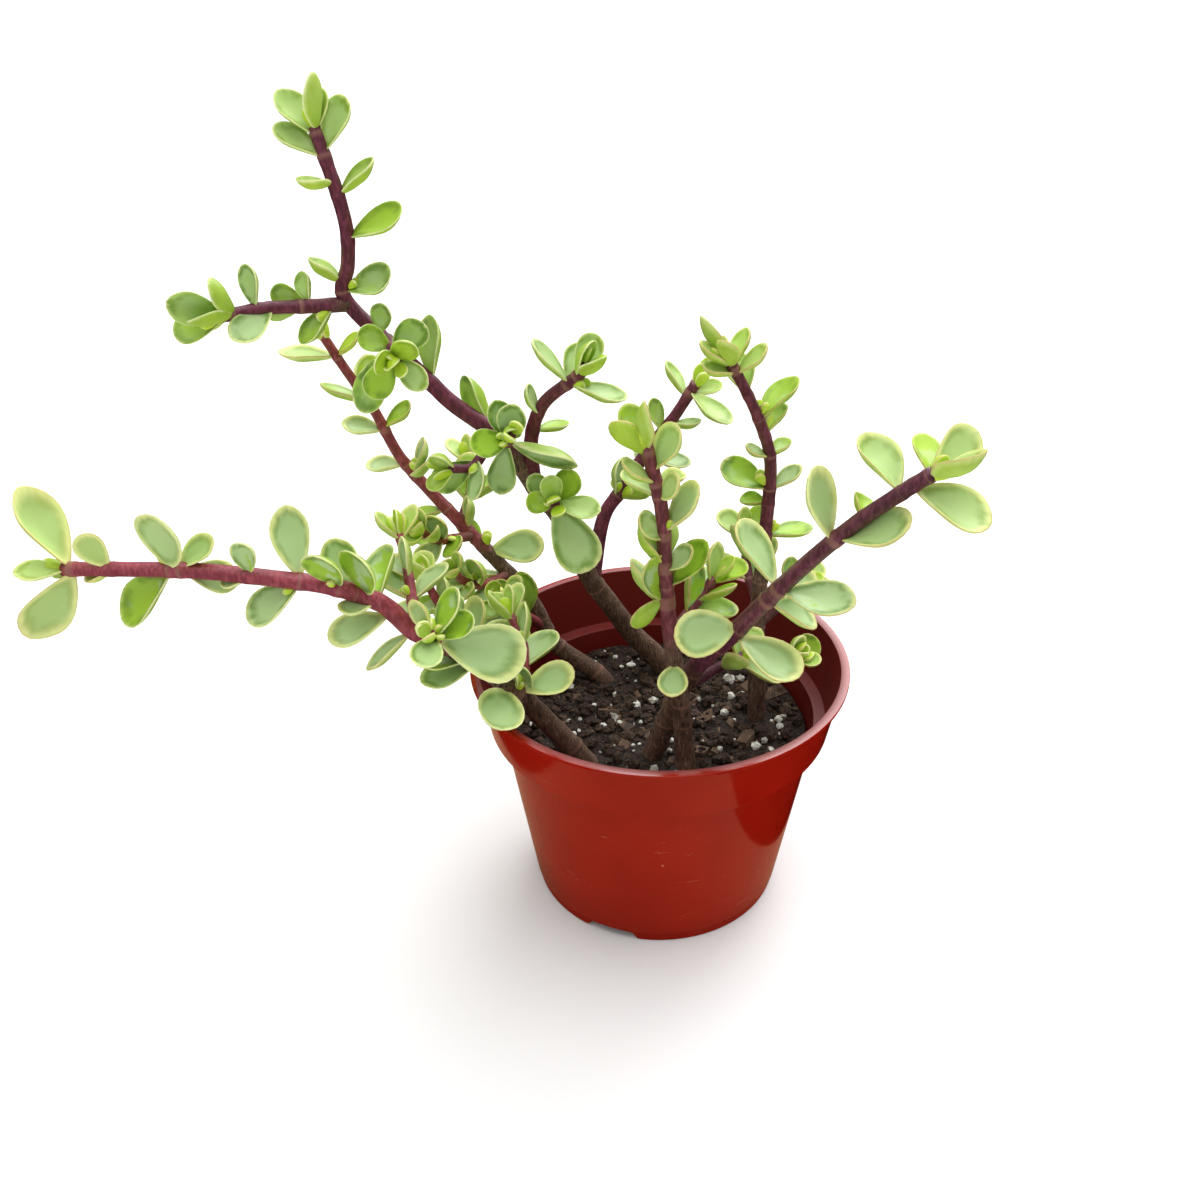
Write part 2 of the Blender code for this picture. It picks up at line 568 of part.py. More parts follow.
def pot_profile():
    """The pot's wall from the lip's rim down the outside, under the floor and up the inside."""
    inner_collar = COLLAR_FOOT_RADIUS - WALL
    inner_body_top = BODY_TOP_RADIUS - WALL
    inner_body_foot = BODY_FOOT_RADIUS - WALL
    floor_top = FOOT_HEIGHT + FLOOR_THICK
    foot_inner = FOOT_RADIUS - FOOT_WIDTH
    return [
        (LIP_RADIUS, POT_HEIGHT),
        (LIP_RADIUS, POT_HEIGHT - LIP_THICK),
        (COLLAR_TOP_RADIUS, POT_HEIGHT - LIP_THICK - STEP_SLOPE),
        (COLLAR_FOOT_RADIUS, COLLAR_FOOT_HEIGHT),
        (BODY_TOP_RADIUS, COLLAR_FOOT_HEIGHT - STEP_SLOPE),
        (BODY_FOOT_RADIUS, FOOT_HEIGHT),
        (FOOT_RADIUS, FOOT_HEIGHT - STEP_SLOPE),
        (FOOT_RADIUS, 0),
        (foot_inner, 0),
        (foot_inner - STEP_SLOPE, FOOT_HEIGHT),
        (PAD_RADIUS + PAD_SLOPE, FOOT_HEIGHT),
        (PAD_RADIUS, 0),
        (0, 0),
        (0, floor_top),
        (inner_body_foot + STEP_SLOPE, floor_top),
        (inner_body_top, COLLAR_FOOT_HEIGHT + WALL - STEP_SLOPE),
        (inner_collar, COLLAR_FOOT_HEIGHT + WALL),
        (LIP_INNER_RADIUS, POT_HEIGHT),
    ]


def make_pot(parts, cutters):
    """The pot: a turned shell with drain notches cut through its foot ring."""
    pot = turned("pot", pot_profile(), POT_STEPS, parts)
    for number in range(NOTCH_COUNT):
        shape = bmesh.new()
        bmesh.ops.create_cube(shape, size=1.0)
        bmesh.ops.scale(shape, vec=(4 * FOOT_WIDTH, NOTCH_WIDTH, 2 * NOTCH_HEIGHT),
                        verts=shape.verts)
        cutter = object_from_bmesh(f"notch_cutter_{number + 1}", shape, cutters)
        turn = NOTCH_FIRST_TURN + number * math.tau / NOTCH_COUNT
        cutter.location = (FOOT_RADIUS * math.cos(turn), FOOT_RADIUS * math.sin(turn), 0)
        cutter.rotation_euler = (0, 0, turn)
        cutter.hide_render = True
        cutter.display_type = "WIRE"
        boolean(pot, "DIFFERENCE", cutter)
    pot.data.materials.append(material("red_plastic", (0.38, 0.025, 0.012), 0.22))
    smooth_shade(pot)
    return pot


def soil_top(x, y):
    """How far the soil stands above or below its middle height at a place."""
    coarse = noise.noise(Vector((x, y, 0)) / SOIL_WAVE)
    fine = noise.noise(Vector((x, y, SOIL_WAVE)) / SOIL_GRAIN)
    return SOIL_ROUGHNESS * (coarse + 0.5 * fine)


def pot_inner_radius(height):
    """The pot's inner radius at a height below the ledge."""
    share = (height - FOOT_HEIGHT) / (COLLAR_FOOT_HEIGHT - FOOT_HEIGHT)
    return BODY_FOOT_RADIUS - WALL + (BODY_TOP_RADIUS - BODY_FOOT_RADIUS) * share


def make_soil(parts, cutters):
    """The soil: a turned body with a rough top, clods on it and a hole for each stem."""
    side = STEP_SLOPE + GAP
    top_radius = pot_inner_radius(SOIL_HEIGHT) - side
    low = FOOT_HEIGHT + FLOOR_THICK + GAP
    low_radius = pot_inner_radius(low) - side
    rings = [(top_radius * number / SOIL_RINGS, SOIL_HEIGHT) for number in range(SOIL_RINGS + 1)]
    soil = baked(turned("soil", [*rings, (low_radius, low), (0, low)], SOIL_STEPS, parts))
    for vert in soil.data.vertices:
        if vert.co.z > ROOT_LEVEL:
            vert.co.z += soil_top(vert.co.x, vert.co.y)
    clods = collection("clods")
    rng = random.Random(SEED)
    for number in range(CLOD_COUNT):
        size = rng.uniform(*CLOD_SIZES)
        reach = (top_radius - 1.6 * size) * math.sqrt(rng.random())
        turn = rng.uniform(0, math.tau)
        x = reach * math.cos(turn)
        y = reach * math.sin(turn)
        shape = bmesh.new()
        bmesh.ops.create_icosphere(shape, subdivisions=1, radius=size)
        stretch = (rng.uniform(0.8, 1.3), rng.uniform(0.8, 1.2), rng.uniform(0.5, 0.8))
        bmesh.ops.scale(shape, vec=stretch, verts=shape.verts)
        clod = object_from_bmesh(f"clod_{number}", shape, clods)
        clod.location = (x, y, SOIL_HEIGHT + soil_top(x, y) + 0.1 * size)
        clod.rotation_euler = (0, 0, rng.uniform(0, math.tau))
    boolean(soil, "UNION", clods, "MANIFOLD")
    soil = baked(soil)
    remove_all(clods)
    keep_largest_body(soil)
    for number, plan in enumerate(SHOOTS):
        if plan["route"][0][2] * MM < ROOT_LEVEL:
            cutter = stem_tube(plan, f"root_cutter_{number}", cutters, GAP, ROOT_LENGTH)
            cutter.hide_render = True
            cutter.display_type = "WIRE"
            boolean(soil, "DIFFERENCE", cutter)
    soil.data.materials.clear()
    soil.data.materials.append(material("dark_soil", (0.035, 0.022, 0.015), 0.95))
    return soil


def make_stems(parts, solids):
    """The leafy stems, each one piece with its shoots and leaves.

    Each is fused in one union of all its pieces. The manifold solver does it in a second
    or so, where the exact one takes minutes, and every piece here is a closed mesh."""
    scratch = collection("scratch")
    tubes = [stem_tube(plan, f"shoot_{number}", scratch) for number, plan in enumerate(SHOOTS)]
    barks = []
    for plan, tube in zip(SHOOTS, tubes):
        shape = bmesh.new()
        shape.from_mesh(tube.data)
        barks.append((plan["stem"], BVHTree.FromBMesh(shape)))
        shape.free()
    leaves = grow_leaves(barks, solids)
    for stem, colour in STEM_COLOURS.items():
        pieces = collection("pieces")
        own = [number for number, plan in enumerate(SHOOTS) if plan["stem"] == stem]
        trunk = tubes[own[0]]
        scratch.objects.unlink(trunk)
        parts.objects.link(trunk)
        trunk.name = stem
        for number in own[1:]:
            scratch.objects.unlink(tubes[number])
            pieces.objects.link(tubes[number])
        for number in own:
            for index, shape in enumerate(leaves[number]):
                object_from_bmesh(f"leaf_{number}_{index}", shape, pieces)
        boolean(trunk, "UNION", pieces, "MANIFOLD")
        trunk = baked(trunk)
        remove_all(pieces)
        keep_largest_body(trunk)
        trunk.data.materials.clear()
        trunk.data.materials.append(material(f"{stem}_green", colour, 0.42))
        smooth_shade(trunk)
    remove_all(scratch)


def evaluated_tree(made):
    """An object's faces, as its modifiers leave them, to test for clashes."""
    bpy.context.view_layer.update()
    return BVHTree.FromObject(made, bpy.context.evaluated_depsgraph_get())


def main():
    clear_scene()
    parts = collection(OBJECT_NAME)
    cutters = collection("cutters")
    pot = make_pot(parts, cutters)
    soil = make_soil(parts, cutters)
    make_stems(parts, [evaluated_tree(pot), evaluated_tree(soil)])


main()
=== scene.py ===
# %% [markdown]
# # A potted elephant bush
#
# The plant is a young variegated elephant bush: six woody stems that turn maroon towards
# their tips, with fleshy leaves in pairs, grey-green in the middle and cream along the rim.
# It stands in dark potting soil with white perlite, in a thin, glossy, terracotta-red
# nursery pot.
#
# A imported CAD model holds the true sizes. Here each of its solids is replaced by
# finer pieces with the real finish. First the model is opened.

# %% Open the imported model
import math
import random

import bmesh
import bpy
from mathutils import Matrix, Quaternion, Vector, noise
from mathutils.bvhtree import BVHTree


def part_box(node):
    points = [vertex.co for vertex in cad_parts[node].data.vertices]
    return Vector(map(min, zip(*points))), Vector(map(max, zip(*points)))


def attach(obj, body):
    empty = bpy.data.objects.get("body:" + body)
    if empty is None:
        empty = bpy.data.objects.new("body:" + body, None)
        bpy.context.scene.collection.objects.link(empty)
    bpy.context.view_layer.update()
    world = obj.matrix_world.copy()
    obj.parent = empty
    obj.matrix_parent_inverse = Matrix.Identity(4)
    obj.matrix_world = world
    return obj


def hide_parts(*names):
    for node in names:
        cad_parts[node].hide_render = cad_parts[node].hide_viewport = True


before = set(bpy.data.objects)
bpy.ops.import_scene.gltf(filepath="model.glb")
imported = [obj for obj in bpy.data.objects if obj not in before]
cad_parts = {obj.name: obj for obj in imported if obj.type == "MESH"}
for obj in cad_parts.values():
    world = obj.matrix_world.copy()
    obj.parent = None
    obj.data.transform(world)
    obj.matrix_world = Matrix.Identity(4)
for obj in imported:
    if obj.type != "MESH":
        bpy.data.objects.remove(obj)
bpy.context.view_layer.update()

# %% [markdown]
# Sizes are written in millimetres times MM, because Blender counts in metres. Colours are
# written as a screen shows them, from 0 to 255, and are turned into the linear light that
# shaders work with.

# %% Units and colours
MM = 0.001
SEED = 7


def screen_colour(red, green, blue):
    """A shader colour from the numbers that a screen shows."""
    shares = [value / 255 for value in (red, green, blue)]
    light = [share / 12.92 if share < 0.04045 else ((share + 0.055) / 1.055) ** 2.4
             for share in shares]
    return (*light, 1.0)


print("Mid green in linear light:", [round(c, 3) for c in screen_colour(110, 160, 90)])

# %% [markdown]
# ## Writing shaders as sums
#
# A finish is a small sum: "cream where the margin is near 1, plus a little noise". Node by
# node that is hard to read, so a value of a shader is wrapped in a class whose operators
# add the Math nodes. Every other node comes from one method, which takes the node's type,
# its settings and what goes into its sockets.


# %% A value that varies over a surface
class Varying:
    """One output of a node. Python's operators on it add Math nodes."""

    def __init__(self, finish, output):
        self.finish = finish
        self.output = output

    def __add__(self, other):
        return self.finish.maths("ADD", self, other)

    def __radd__(self, other):
        return self.finish.maths("ADD", other, self)

    def __sub__(self, other):
        return self.finish.maths("SUBTRACT", self, other)

    def __rsub__(self, other):
        return self.finish.maths("SUBTRACT", other, self)

    def __mul__(self, other):
        return self.finish.maths("MULTIPLY", self, other)

    def __rmul__(self, other):
        return self.finish.maths("MULTIPLY", other, self)


# %% [markdown]
# The finish itself is a Principled shader. Numbers that are the same all over go straight
# into its sockets. Helpers name the few patterns that this plant needs: noise, cells, a
# soft step, a blend of two colours and a bump.


# %% A finish
def socket_called(name):
    """The shader's name for a socket, such as Base Color for base_color."""
    return name.replace("_", " ").title().replace("Ior", "IOR")


class Finish:
    """A material on a Principled shader, with one method that adds any node."""

    def __init__(self, name, **constants):
        self.material = bpy.data.materials.new(name)
        self.material.use_nodes = True
        self.tree = self.material.node_tree
        self.shader = self.tree.nodes["Principled BSDF"]
        for socket, value in constants.items():
            self.shader.inputs[socket_called(socket)].default_value = value

    def node(self, kind, settings, sockets, output=0):
        """Adds a node: its settings first, then the values or links of its sockets."""
        made = self.tree.nodes.new("ShaderNode" + kind)
        for name, value in settings.items():
            setattr(made, name, value)
        for name, value in sockets.items():
            self.feed(made.inputs[name], value)
        return Varying(self, made.outputs[output])

    def feed(self, socket, value):
        if isinstance(value, Varying):
            self.tree.links.new(value.output, socket)
        else:
            socket.default_value = value

    def maths(self, operation, first, second):
        return self.node("Math", {"operation": operation}, {0: first, 1: second})

    def attribute(self, name):
        return self.node("Attribute", {"attribute_name": name}, {}, "Fac")

    def place(self, stretch=(1, 1, 1)):
        """Where a point lies on the piece, in metres, drawn out along an axis if asked."""
        here = self.node("TexCoord", {}, {}, "Object")
        return self.node("VectorMath", {"operation": "MULTIPLY"}, {0: here, 1: stretch})

    def noise(self, where, scale, detail=2.0, distortion=0.0):
        sockets = {"Vector": where, "Scale": scale, "Detail": detail, "Distortion": distortion}
        return self.node("TexNoise", {}, sockets, "Fac")

    def cells(self, where, scale, output="Distance"):
        return self.node("TexVoronoi", {}, {"Vector": where, "Scale": scale}, output)

    def step(self, value, low, high):
        """0 below low, 1 above high, and a soft rise between them."""
        sockets = {"Value": value, "From Min": low, "From Max": high}
        return self.node("MapRange", {"interpolation_type": "SMOOTHSTEP"}, sockets)

    def blend(self, share, first, second):
        return self.node("Mix", {"data_type": "RGBA"}, {0: share, 6: first, 7: second}, 2)

    def bump(self, height, depth, strength=1.0):
        sockets = {"Strength": strength, "Distance": depth, "Height": height}
        self.feed(self.shader.inputs["Normal"], self.node("Bump", {}, sockets))

    def wear(self, **sockets):
        """Feeds the shader's sockets that vary: base_color and roughness."""
        for name, value in sockets.items():
            self.feed(self.shader.inputs[socket_called(name)], value)


print("A socket's name:", socket_called("specular_ior_level"))

# %% [markdown]
# ## The camera
#
# The camera was fitted to the photograph by the pot's circles: its lip, ledge and foot are
# round and level, so their ellipses give the height, the tilt and the distance. The view
# looks down by about 31 degrees from 0.42 m away through a moderate wide-angle lens.

# %% Camera
CAMERA_DISTANCE = 393 * MM
CAMERA_CLIMB = math.radians(37.6)
CAMERA_AIM_HEIGHT = 40 * MM
CAMERA_YAW = math.radians(-3.08)
CAMERA_PITCH = math.radians(30.87)
CAMERA_ROLL = math.radians(-0.56)

look = Vector((math.sin(CAMERA_YAW) * math.cos(CAMERA_PITCH),
               math.cos(CAMERA_YAW) * math.cos(CAMERA_PITCH),
               -math.sin(CAMERA_PITCH)))
level = Vector((math.cos(CAMERA_YAW), -math.sin(CAMERA_YAW), 0))
level.rotate(Quaternion(look, -CAMERA_ROLL))
camera_turn = Matrix((level, level.cross(look), -look)).transposed()
camera_data = bpy.data.cameras.new("camera")
camera_data.lens = 39
camera_data.sensor_width = 36
camera = bpy.data.objects.new("camera", camera_data)
camera.matrix_world = Matrix.Translation((
    0, -CAMERA_DISTANCE * math.cos(CAMERA_CLIMB),
    CAMERA_DISTANCE * math.sin(CAMERA_CLIMB) + CAMERA_AIM_HEIGHT)) @ camera_turn.to_4x4()
bpy.context.scene.collection.objects.link(camera)
bpy.context.scene.camera = camera
bpy.context.scene.view_settings.view_transform = "Standard"
print("Camera at", [round(value, 3) for value in camera.matrix_world.translation])

# %% [markdown]
# ## Floor and light
#
# The photograph is bright and soft, with the sky behind the plant: upper sides and the
# pot's lip are pale, and what faces the viewer is darker. The floor is a plain pale plane,
# wide enough to fill the view.

# %% Floor
FLOOR_HALF = 4.0


def stage_plane(name, height, finish):
    """A plane for the stage, not part of the object."""
    shape = bmesh.new()
    bmesh.ops.create_grid(shape, x_segments=1, y_segments=1, size=FLOOR_HALF)
    mesh = bpy.data.meshes.new(name)
    shape.to_mesh(mesh)
    shape.free()
    mesh.materials.append(finish.material)
    plane = bpy.data.objects.new(name, mesh)
    plane.location.z = height
    bpy.context.scene.collection.objects.link(plane)
    return plane


floor_finish = Finish("pale_floor", roughness=0.8, specular_ior_level=0.1)
floor_mottle = floor_finish.noise(floor_finish.place(), 6.0)
floor_finish.wear(base_color=floor_finish.blend(
    floor_mottle, screen_colour(236, 236, 236), screen_colour(240, 240, 240)))
floor = stage_plane("floor", -0.2 * MM, floor_finish)
print("Floor:", len(floor.data.polygons), "face")

# %% [markdown]
# A glossy pot shows what it stands on. In the photograph that was a light board about
# 140 mm wide, with darkness on both sides of it, so the pot's wall carries a pale haze in
# the middle and a sharp dark tongue at either side. The floor in view stays plain, and the
# board is a second plane that only reflections can see, as studios lay cards beside a
# glossy thing.

# %% What the gloss sees
BOARD_RIGHT = 50 * MM
BOARD_LEFT = -84 * MM
BOARD_TURN = 0.115                # how far its edges run to the left for each step back


def board_finish():
    finish = Finish("board", roughness=0.9, specular_ior_level=0.0)
    here = finish.place()
    right = finish.node("SeparateXYZ", {}, {0: here}, "X")
    back = finish.node("SeparateXYZ", {}, {0: here}, "Y")
    across = right + BOARD_TURN * back
    on_board = (finish.step(across, BOARD_RIGHT + 1 * MM, BOARD_RIGHT)
                * finish.step(across, BOARD_LEFT - 1 * MM, BOARD_LEFT))
    finish.wear(base_color=finish.blend(on_board, screen_colour(12, 6, 5),
                                        screen_colour(152, 120, 94)))
    return finish


board = stage_plane("board", -0.1 * MM, board_finish())
board.visible_camera = False
board.visible_diffuse = False
board.visible_shadow = False
board.visible_transmission = False
print("Board width in mm:", round((BOARD_RIGHT - BOARD_LEFT) / MM))


# %% [markdown]
# The sky is a sun lamp with a very wide disc, almost overhead. A smaller one behind the
# plant puts the pale sheen on the lip and on wet-looking leaves, a weak one in front lifts
# what faces the viewer, and the surround gives the rest an even fill.

# %% Lights
SKY_FROM = Vector((0.15, 0.25, 1.0))
REAR_FROM = Vector((0.30, 0.80, 0.60))
FRONT_FROM = Vector((-0.45, -0.62, 0.75))


def wide_light(name, come_from, energy, spread):
    """A sun lamp that shines from a direction, with a disc as wide as spread in degrees."""
    data = bpy.data.lights.new(name, "SUN")
    data.energy = energy
    data.angle = math.radians(spread)
    light = bpy.data.objects.new(name, data)
    light.rotation_euler = (-come_from).to_track_quat("-Z", "Y").to_euler()
    bpy.context.scene.collection.objects.link(light)
    return light


wide_light("sky", SKY_FROM, 3.3, 90)
wide_light("rear", REAR_FROM, 1.4, 40)
wide_light("front", FRONT_FROM, 0.5, 60)
surround = bpy.data.worlds.new("surround")
surround.use_nodes = True
surround.node_tree.nodes["Background"].inputs["Color"].default_value = (1, 1, 0.98, 1)
surround.node_tree.nodes["Background"].inputs["Strength"].default_value = 0.34
bpy.context.scene.world = surround
print("Lights:", [item.name for item in bpy.data.lights])


# %% [markdown]
# ## The plant's plan
#
# An elephant bush grows by a simple rule. Leaves sit in opposite pairs, each pair a
# quarter turn on from the last, and a shoot ends in a tight rosette. The plan lists each
# shoot as a route of points in millimetres, with either single leaves, read from
# the photograph where they can be told apart, or the distances of whole pairs.

# %% How a shoot is written down
def shoot(stem, route, thick, leaves=(), pairs=(), roll=0, leaf=(14, 11), lean=42, tip=2,
          face=0.55):
    """One shoot of a stem. route lists points in mm and thick the diameter at foot and tip.

    leaves lists single leaves: the distance along the shoot in mm, the roll round it, the
    lean towards the tip, both in degrees, the length in mm and, for some, a turn about the
    leaf's own length. pairs lists the distances of leaves that grow two by two: roll is
    the first pair's roll, leaf the length of the first and the last, lean their lean, and
    tip how many pairs make the rosette at the shoot's end. face is how far upper sides
    turn from the shoot's tip towards the light."""
    return {"stem": stem, "route": route, "thick": thick, "leaves": leaves, "pairs": pairs,
            "roll": roll, "leaf": leaf, "lean": lean, "tip": tip, "face": face}


# %% [markdown]
# The shoots repeat the routes of the CAD solids that they replace. Round an upright shoot,
# roll 0 is right, 90 back, 180 left and 270 front. Round one that runs to the left, roll 0
# is up and 180 down. First come the two stems on the left.

# %% The left and the second stem
SHOOTS = [
    # The long left stem
    shoot("left_stem", [(-12, -18, 38), (-23, -20, 56), (-31, -21, 67), (-39, -24, 79),
                        (-51, -30, 94), (-62, -35, 104), (-69, -38, 114), (-80, -42, 121),
                        (-92, -44, 124), (-110, -46, 127), (-128, -44, 126), (-146, -41, 124)],
          (6.4, 3.6), tip=0, face=0.9, leaves=[
              (48, 0, -10, 16), (52, 260, 20, 19, -20), (44, 40, 55, 13), (50, 20, 30, 8),
              (65, 205, 30, 13, 10), (68, 190, 40, 12, 10), (86, 200, 0, 13, 50),
              (94, 200, 15, 15, 10), (100, 240, 60, 9, 20), (99, 80, -10, 15, -20),
              (103, 350, 35, 16, 10), (106, 100, -5, 12, -30), (105, 30, 45, 13),
              (110, 350, 35, 14, 20), (119, 50, 15, 16), (119, 190, 40, 14),
              (119, 150, 45, 10), (131, 0, 5, 10, 30), (131, 180, 60, 6),
              (150, 355, -15, 19, 30), (150, 190, 45, 18), (148, 50, -55, 10),
              (147, 155, -55, 11), (166, 0, 15, 10), (166, 180, 60, 7),
              (177, 20, 32, 20, 70), (176, 210, 48, 20, -70), (178, 300, 55, 10),
              (178, 130, 50, 9)]),
    shoot("left_stem", [(-55, -32, 98), (-56, -37, 103), (-57, -41, 107)],
          (3.6, 2.6), tip=0, face=0.3, leaves=[
              (8, 340, -40, 21, 10), (9, 45, 25, 13, -20), (9, 15, 15, 12),
              (10, 100, 35, 10, -30), (10, 270, 40, 12, -10), (12, 150, 75, 5)]),
    shoot("left_stem", [(-43, -25, 84), (-51, -18, 91), (-59, -14, 99), (-63, -12, 106)],
          (3.4, 2.2), pairs=[10, 16, 22], roll=10, leaf=(12, 9)),
    shoot("left_stem", [(-62, -34, 104), (-64, -26, 111), (-66, -20, 116), (-68, -16, 122)],
          (3.2, 2.2), pairs=[8, 14], roll=40, leaf=(12, 9)),
    shoot("left_stem", [(-51, -30, 94), (-58, -22, 93), (-65, -15, 98), (-70, -12, 106)],
          (3.2, 2.2), pairs=[21], roll=200, leaf=(9, 9)),
    shoot("left_stem", [(-37, -23, 76), (-37, -14, 86), (-41, -8, 93)],
          (3.2, 2.2), pairs=[8, 14], roll=50, leaf=(13, 11)),
    # The second stem, which lies on the soil and then leans back to the left
    shoot("second_stem", [(-9, 21, 40), (-18, 23, 52), (-26, 25, 57), (-33, 26, 63),
                          (-37, 27, 72), (-42, 29, 80), (-48, 31, 86), (-55, 32, 94),
                          (-62, 33, 102),
                          (-69, 34, 110), (-77, 34, 121), (-83, 33, 136),
                          (-89, 30, 149), (-93, 26, 160)],
          (6.0, 2.6), tip=0, face=0.3, leaves=[
              (52, 210, 20, 13), (60, 200, 28, 13),
              (69, 5, -35, 15, 50), (71, 120, 60, 9, 30), (78, 10, 30, 10), (87, 185, 15, 11),
              (100, 320, 10, 11), (101, 355, 25, 11), (105, 180, 20, 11), (117, 180, 20, 10),
              (118, 0, 10, 10), (127, 180, 40, 13, 30), (133, 30, 20, 9), (131, 60, 20, 9),
              (144, 180, 20, 13, 30), (144, 5, 10, 8)]),
    shoot("second_stem", [(-57, 32, 96), (-62, 24, 99), (-65, 16, 103), (-68, 10, 109)],
          (3.2, 2.2), pairs=[9, 15, 21], roll=0, leaf=(12, 9)),
    shoot("second_stem", [(-46, 30, 84), (-52, 22, 85), (-56, 14, 90), (-59, 8, 97)],
          (3.2, 2.2), pairs=[8, 14, 20], roll=70, leaf=(12, 9)),
    shoot("second_stem", [(-35, 27, 67), (-41, 20, 76), (-45, 14, 82), (-46, 9, 88)],
          (3.4, 2.2), pairs=[12, 18, 24], roll=30, leaf=(14, 10)),
    shoot("second_stem", [(-60, 33, 100), (-58, 42, 107), (-59, 48, 114)],
          (3.0, 2.2), pairs=[7, 12], roll=0, leaf=(12, 10)),
]
print("Shoots on the left:", len(SHOOTS))

# %% [markdown]
# The tall stem rises behind them and forks near its top.

# %% The tall stem
SHOOTS += [
    # The tall stem, which forks near its top
    shoot("tall_stem", [(7, 28, 40), (1, 28, 54), (-8, 27, 65), (-15, 22, 79),
                        (-21, 18, 91), (-28, 12, 112), (-35, 9, 124), (-43, 6, 139),
                        (-55, 4, 150), (-61, 3, 157), (-72, 2, 169), (-80, 2, 179),
                        (-78, 1, 187), (-77, 0, 195), (-78, 0, 203), (-81, 2, 213),
                        (-83, 4, 219)],
          (7.0, 3.2), tip=0, leaves=[
              (118, 70, 45, 15, -50), (139, 30, 30, 15, -10), (157, 340, 30, 8, 60),
              (171, 350, 30, 13, 20), (173, 180, 15, 9, 30), (185, 0, 30, 15),
              (198, 240, 5, 9), (195, 5, 20, 11, -10), (204, 190, 40, 12),
              (205, 0, 35, 13, 30), (209, 190, 40, 11), (210, 320, 40, 13),
              (210, 10, 60, 8)]),
    shoot("tall_stem", [(-79, 2, 177), (-90, -3, 178), (-99, -8, 179), (-108, -12, 178)],
          (3.8, 2.8), tip=0, leaves=[
              (4, 200, 35, 11), (10, 40, -15, 7), (10, 60, 60, 8), (12, 170, 60, 8, 60),
              (23, 0, -10, 10), (19, 220, 50, 12, -40), (28, 340, 15, 11, -20), (30, 10, 55, 12),
              (30, 140, 70, 13, -10), (28, 240, 55, 13, -10), (30, 120, 20, 8)]),
    shoot("tall_stem", [(-70, 2, 168), (-67, -8, 169), (-65, -14, 168)],
          (3.2, 2.4), tip=0, face=0.3, leaves=[
              (15, 60, 40, 9), (15, 150, 40, 9), (13, 225, 25, 11), (14, 325, 35, 10),
              (11, 45, 15, 11), (10, 250, 0, 15, 40), (9, 150, 10, 8)]),
    shoot("tall_stem", [(-42, 6, 137), (-40, -4, 143), (-38, -11, 148)],
          (3.4, 2.4), tip=0, face=0.3, leaves=[
              (12, 80, 60, 13), (14, 195, 25, 11), (10, 260, -45, 13), (13, 110, 20, 10),
              (11, 350, 10, 19, 80), (15, 100, 60, 8)]),
    shoot("tall_stem", [(-35, 9, 124), (-35, 6, 139), (-31, 2, 151), (-22, -2, 160),
                        (-19, -3, 164)],
          (4.4, 3.0), tip=0, leaves=[
              (19, 30, 5, 8, -30), (25, 185, 45, 9),
              (39, 190, 10, 14, 20), (39, 330, 40, 14, -20), (42, 180, 60, 11),
              (43, 290, 60, 10), (42, 90, 50, 10), (38, 90, 20, 10)]),
    shoot("tall_stem", [(-32, 10, 120), (-29, 0, 124), (-28, -6, 126)],
          (3.2, 2.4), tip=0, face=0.3, leaves=[
              (14, 295, 0, 20), (16, 350, 25, 11, -40), (15, 175, 25, 8), (16, 100, 30, 10),
              (14, 150, 10, 9), (14, 45, 15, 10)]),
    shoot("tall_stem", [(-45, 6, 140), (-50, 0, 134), (-56, -4, 135)],
          (3.0, 2.2), pairs=[8], roll=60, leaf=(13, 9), tip=1),
    shoot("tall_stem", [(-20, 19, 88), (-17, 24, 106), (-12, 27, 114), (-4, 30, 126),
                        (3, 32, 135), (9, 33, 145)],
          (4.6, 3.0), tip=0, leaves=[
              (27, 210, 50, 12, -10), (27, 320, 45, 9, -90), (38, 100, 30, 12),
              (42, 340, 20, 12), (53, 320, 25, 9), (50, 190, 20, 9), (62, 160, 15, 10, 20),
              (63, 30, 30, 9, -10), (64, 340, -10, 16, -20), (67, 60, 60, 8)]),
]
print("Shoots so far:", len(SHOOTS))

# %% [markdown]
# The centre, right and back stems stand in the right half of the pot.

